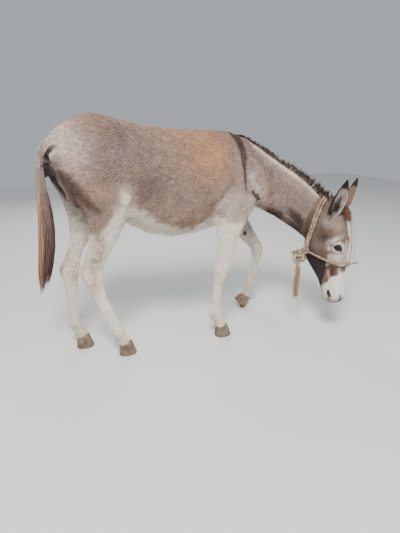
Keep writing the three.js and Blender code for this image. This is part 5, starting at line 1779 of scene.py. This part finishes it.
def rope_tint(points, seed):
    tone = np.clip(0.5 + 0.45 * layered(points, 0.012, seed) + 0.35 * mottle(points, 0.0025, seed + 5), 0, 1)
    return between([(98, 78, 62), (166, 142, 118), (216, 196, 172)], tone)


def middle_line(node, radius):
    """The centre line of a rope's solid, from the right knot over the far side to the left knot."""
    points, faces = read_mesh(NODES[node].data)
    inner = points - normals_of(points, faces) * radius
    inner = inner[np.linalg.norm(inner - NOSE_KNOT, axis=1) > 26 * MM]
    inner = inner[np.linalg.norm(inner - NOSE_END, axis=1) > 36 * MM]
    foot = (KNOT_RIGHT + KNOT_LEFT) / 2
    first = unit(KNOT_RIGHT - KNOT_LEFT)
    far = inner.mean(0) - foot
    second = unit(far - dot(far, first) * first)
    hub = foot + second * dot(inner - foot, second).max() * 0.45
    away = inner - hub
    angle = np.mod(np.arctan2(dot(away, second), dot(away, first)) + math.radians(80), 2 * math.pi)
    bins = np.linspace(angle.min(), angle.max(), 27)
    slices = [inner[(angle >= a) & (angle <= b)] for a, b in zip(bins[:-1], bins[1:])]
    line = [places.mean(0) for places in slices if len(places) > 3]
    return curve_points(np.vstack([KNOT_RIGHT, line, KNOT_LEFT]), 60)


def fuzz(line, radius, count, reach, flat=0.8):
    """Loose fibres that stand off a rope."""
    k = chance.integers(1, len(line) - 1, count)
    ahead = unit(line[k + 1] - line[k - 1])
    out = chance.normal(size=(count, 3))
    out = unit(out - dot(out, ahead)[:, None] * ahead)
    aim = out + flat * ahead * chance.choice([-1, 1], count)[:, None] + 0.4 * chance.normal(size=(count, 3))
    length = reach * chance.uniform(0.4, 1.0, count)
    bend = 0.5 * chance.normal(size=(count, 1, 3))
    paths = growing(line[k] + out * radius * 0.8, unit(aim), length, 4, bend)
    tone = chance.random(count)
    roots = between([(150, 118, 84), (214, 184, 146)], tone)
    tips = between([(170, 138, 100), (232, 208, 172)], tone)
    return paths, thinned(0.8 * MM, 4), out, roots, tips


def rope_piece(name, lines, lay, fibres, nodes):
    """One piece from laid ropes, given as (line, radius), and their fibres."""
    parts, tints = [], []
    for k, (line, radius) in enumerate(lines):
        part = twisted(line, radius, lay * radius / ROPE_RADIUS)
        parts.append(part)
        tints.append(rope_tint(part[0], 60 + k))
    for paths, widths, up, roots, tips in fibres:
        parts.append(blades(paths, widths, up))
        tints.append(blade_tint(roots, tips, paths.shape[1]))
    points, faces = joined(parts)
    piece = make_piece(name, points, faces, rope_twist)
    set_tint(piece, np.vstack(tints))
    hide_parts(*nodes)
    return piece


def overhand(centre, facing, size, turned=0.0):
    """The line of a tight knot that fills a ball of that size."""
    facing = unit(facing)
    first = unit(np.cross(facing, UP))
    second = np.cross(first, facing)
    t = np.linspace(0, 2 * math.pi, 90) + turned
    wide = (2 + np.cos(3 * t))[:, None] / 3
    flat = wide * (first * np.cos(2 * t)[:, None] + second * np.sin(2 * t)[:, None])
    return centre + size * (flat + 0.42 * facing * np.sin(3 * t)[:, None])


def loop(centre, first, second, start=0.0, share=1.0):
    """Part of an ellipse with the half axes first and second."""
    t = start + np.linspace(0, 2 * math.pi * share, 60)[:, None]
    return centre + np.array(first) * MM * np.cos(t) + np.array(second) * MM * np.sin(t)


def frayed(end, aim, count, reach, spread_by):
    """Fibres that fan out of a rope's end, and droop."""
    aim = unit(aim + spread_by * chance.normal(size=(count, 3)))
    start = end + 2.2 * MM * chance.normal(size=(count, 3))
    length = reach * chance.uniform(0.45, 1, count)
    bend = 0.35 * chance.normal(size=(count, 1, 3)) - 0.3 * UP
    paths = growing(start, aim, length, 6, bend)
    tone = chance.random(count)
    roots = between([(132, 104, 74), (206, 176, 138)], tone)
    tips = between([(160, 130, 92), (232, 210, 174)], tone)
    return paths, thinned(1.0 * MM, 6), np.cross(aim, [0.3, 0.5, 0.1]), roots, tips


def beside(place, *offset):
    """The point so many millimetres along x, y and z from a place."""
    return place + np.array(offset) * MM


for name in ["halter_crown_front", "halter_crown_back", "halter_noseband", "halter_jaw_rope"]:
    line = middle_line(name, ROPE_RADIUS)
    fibres = [fuzz(line, ROPE_RADIUS, int(420 * few), 9 * MM)]
    lines = [(line, ROPE_RADIUS * 0.95)]
    if name == "halter_noseband":
        stub = curve_points([NOSE_KNOT, beside((NOSE_KNOT + NOSE_END) / 2, 0, 0, 2), NOSE_END], 20)
        lines += [(overhand(NOSE_KNOT, NOSE_KNOT - KNOT_RIGHT, 10 * MM), 3.4 * MM), (stub, 3 * MM)]
        fibres.append(frayed(NOSE_END, NOSE_END - NOSE_KNOT, 40, 18 * MM, 0.35))
        fibres.append(fuzz(stub, 3 * MM, 60, 8 * MM))
    rope_piece(name + "_rope", lines, ROPE_LAY, fibres, [name])

# A thinner cord runs down the face from under the forelock, with a loose yarn beside it.
FACE_STRAND = np.array([[4, 26, 10], [10, 30, 14], [60, 40, 23], [120, 46, 25], [180, 38, 25], [234, 16, 25],
                        [248, 10, 22]]) * MM
YARN_APART = np.array([[0, 0, 2], [0, 1, 3], [2, 6, 8], [0, 9, 14], [0, 6, 14], [2, 4, 16], [-4, 2, 12]]) * MM
CORD_RADIUS, YARN_RADIUS, CORD_LAY = 2.9 * MM, 1.2 * MM, 13 * MM
strand = curve_points(head_point(*FACE_STRAND.T), 80)
yarn = curve_points(head_point(*(FACE_STRAND + YARN_APART).T), 60)
fibres = [fuzz(strand, 3 * MM, int(160 * few), 7 * MM), fuzz(yarn, YARN_RADIUS, int(70 * few), 7 * MM)]
cords = [(strand, CORD_RADIUS), (yarn, YARN_RADIUS)]
rope_piece("halter_face_cord", cords, CORD_LAY, fibres, ["halter_face_strand"])

# The left knot and its short end.
toward = unit(KNOT_RIGHT - KNOT_LEFT)
left_end = curve_points([KNOT_LEFT, beside(KNOT_LEFT, -14, 8, -16), beside(KNOT_LEFT, -18, 9, -36)], 20)
knot_lines = [(overhand(KNOT_LEFT, -toward, 15 * MM), 4.8 * MM), (left_end, 4.6 * MM)]
fibres = [frayed(left_end[-1], [0, 0.1, -1], 60, 26 * MM, 0.25), fuzz(left_end, 4.6 * MM, 60, 8 * MM)]
rope_piece("halter_knot_left_rope", knot_lines, ROPE_LAY, fibres, ["halter_knot_left"])

# The right knot, whose ends are looped, tied again, and left to fray.
second_knot = beside(BUNDLE, 2, -2, -8)
bare_end = [beside(KNOT_RIGHT, *place) for place in ((0, 0, 0), (-26, -3, 5), (-46, 0, 2), (-63, 5, -4))]
bare_end = curve_points(bare_end, 30)
drop = curve_points([KNOT_RIGHT, beside(KNOT_RIGHT, -16, 2, -20), second_knot], 30)
loops = [
    loop(beside(KNOT_RIGHT, -49, 8, -34), (-13, 3, 4), (4, -2, 27)),
    loop(beside(KNOT_RIGHT, -10, 6, -38), (12, -3, 3), (-4, 3, 25)),
    loop(beside(KNOT_RIGHT, -31, 0, -14), (20, -6, 3), (3, 6, 13)),
    loop(beside(KNOT_RIGHT, -30, 4, -34), (10, -7, 0), (-8, 4, 22)),
]
knot_lines = [(overhand(KNOT_RIGHT, toward, 17 * MM), 5.0 * MM),
              (overhand(second_knot, toward + 0.3 * UP, 14 * MM, 0.6), 4.8 * MM),
              (bare_end, 5 * MM), (drop, 5 * MM)]
knot_lines += [(line, 4.2 * MM) for line in loops]
fibres = [fuzz(line, radius, int(130 * few), 11 * MM) for line, radius in knot_lines]
fibres.append(frayed(bare_end[-1], [-1, 0.1, -0.1], 110, 26 * MM, 0.35))
fibres.append(frayed(second_knot, [-0.3, 0, -1], 120, 45 * MM, 0.35))
fibres.append(frayed(KNOT_RIGHT, [0.9, -0.3, 0.1], 60, 24 * MM, 0.4))
fibres.append(frayed(loops[0][30], [-0.5, 0, -1], 50, 30 * MM, 0.3))
rope_piece("halter_knot_right_rope", knot_lines, ROPE_LAY, fibres, ["halter_knot_right"])


# ---- the free end's fibres, along the cord's own line -------------------------------------------------
def fray_along(line, radius, count):
    """Fibres that hang down beside a rope."""
    place = chance.integers(0, len(line), count)
    around = chance.uniform(0, 2 * math.pi, count)
    outward = np.stack([np.cos(around), np.sin(around), np.zeros(count)], 1)
    length = chance.uniform(22, 60, count) * MM
    t = np.linspace(0, 1, 7)[None, :, None]
    start = line[place] + outward * radius * 0.7
    wide = (0.10 + 0.20 * chance.random(count))[:, None, None]
    wave = 0.09 * np.sin(t * 8 + 3 * around[:, None, None]) * outward[:, None]
    paths = start[:, None] + length[:, None, None] * t * (outward[:, None] * wide - UP + wave)
    tone = chance.random(count)
    roots = between([(84, 62, 42), (178, 140, 100)], tone)
    tips = between([(104, 76, 50), (202, 166, 124)], tone)
    return paths, thinned(1.5 * MM, 7), outward, roots, tips


hanging = [fray_along(curve_points(TAIL_LINE, 60), TAIL_RADIUS, int(760 * few))]
halter_fray = lock_piece("halter_tail_fray", hanging, rope_twist, "rope")
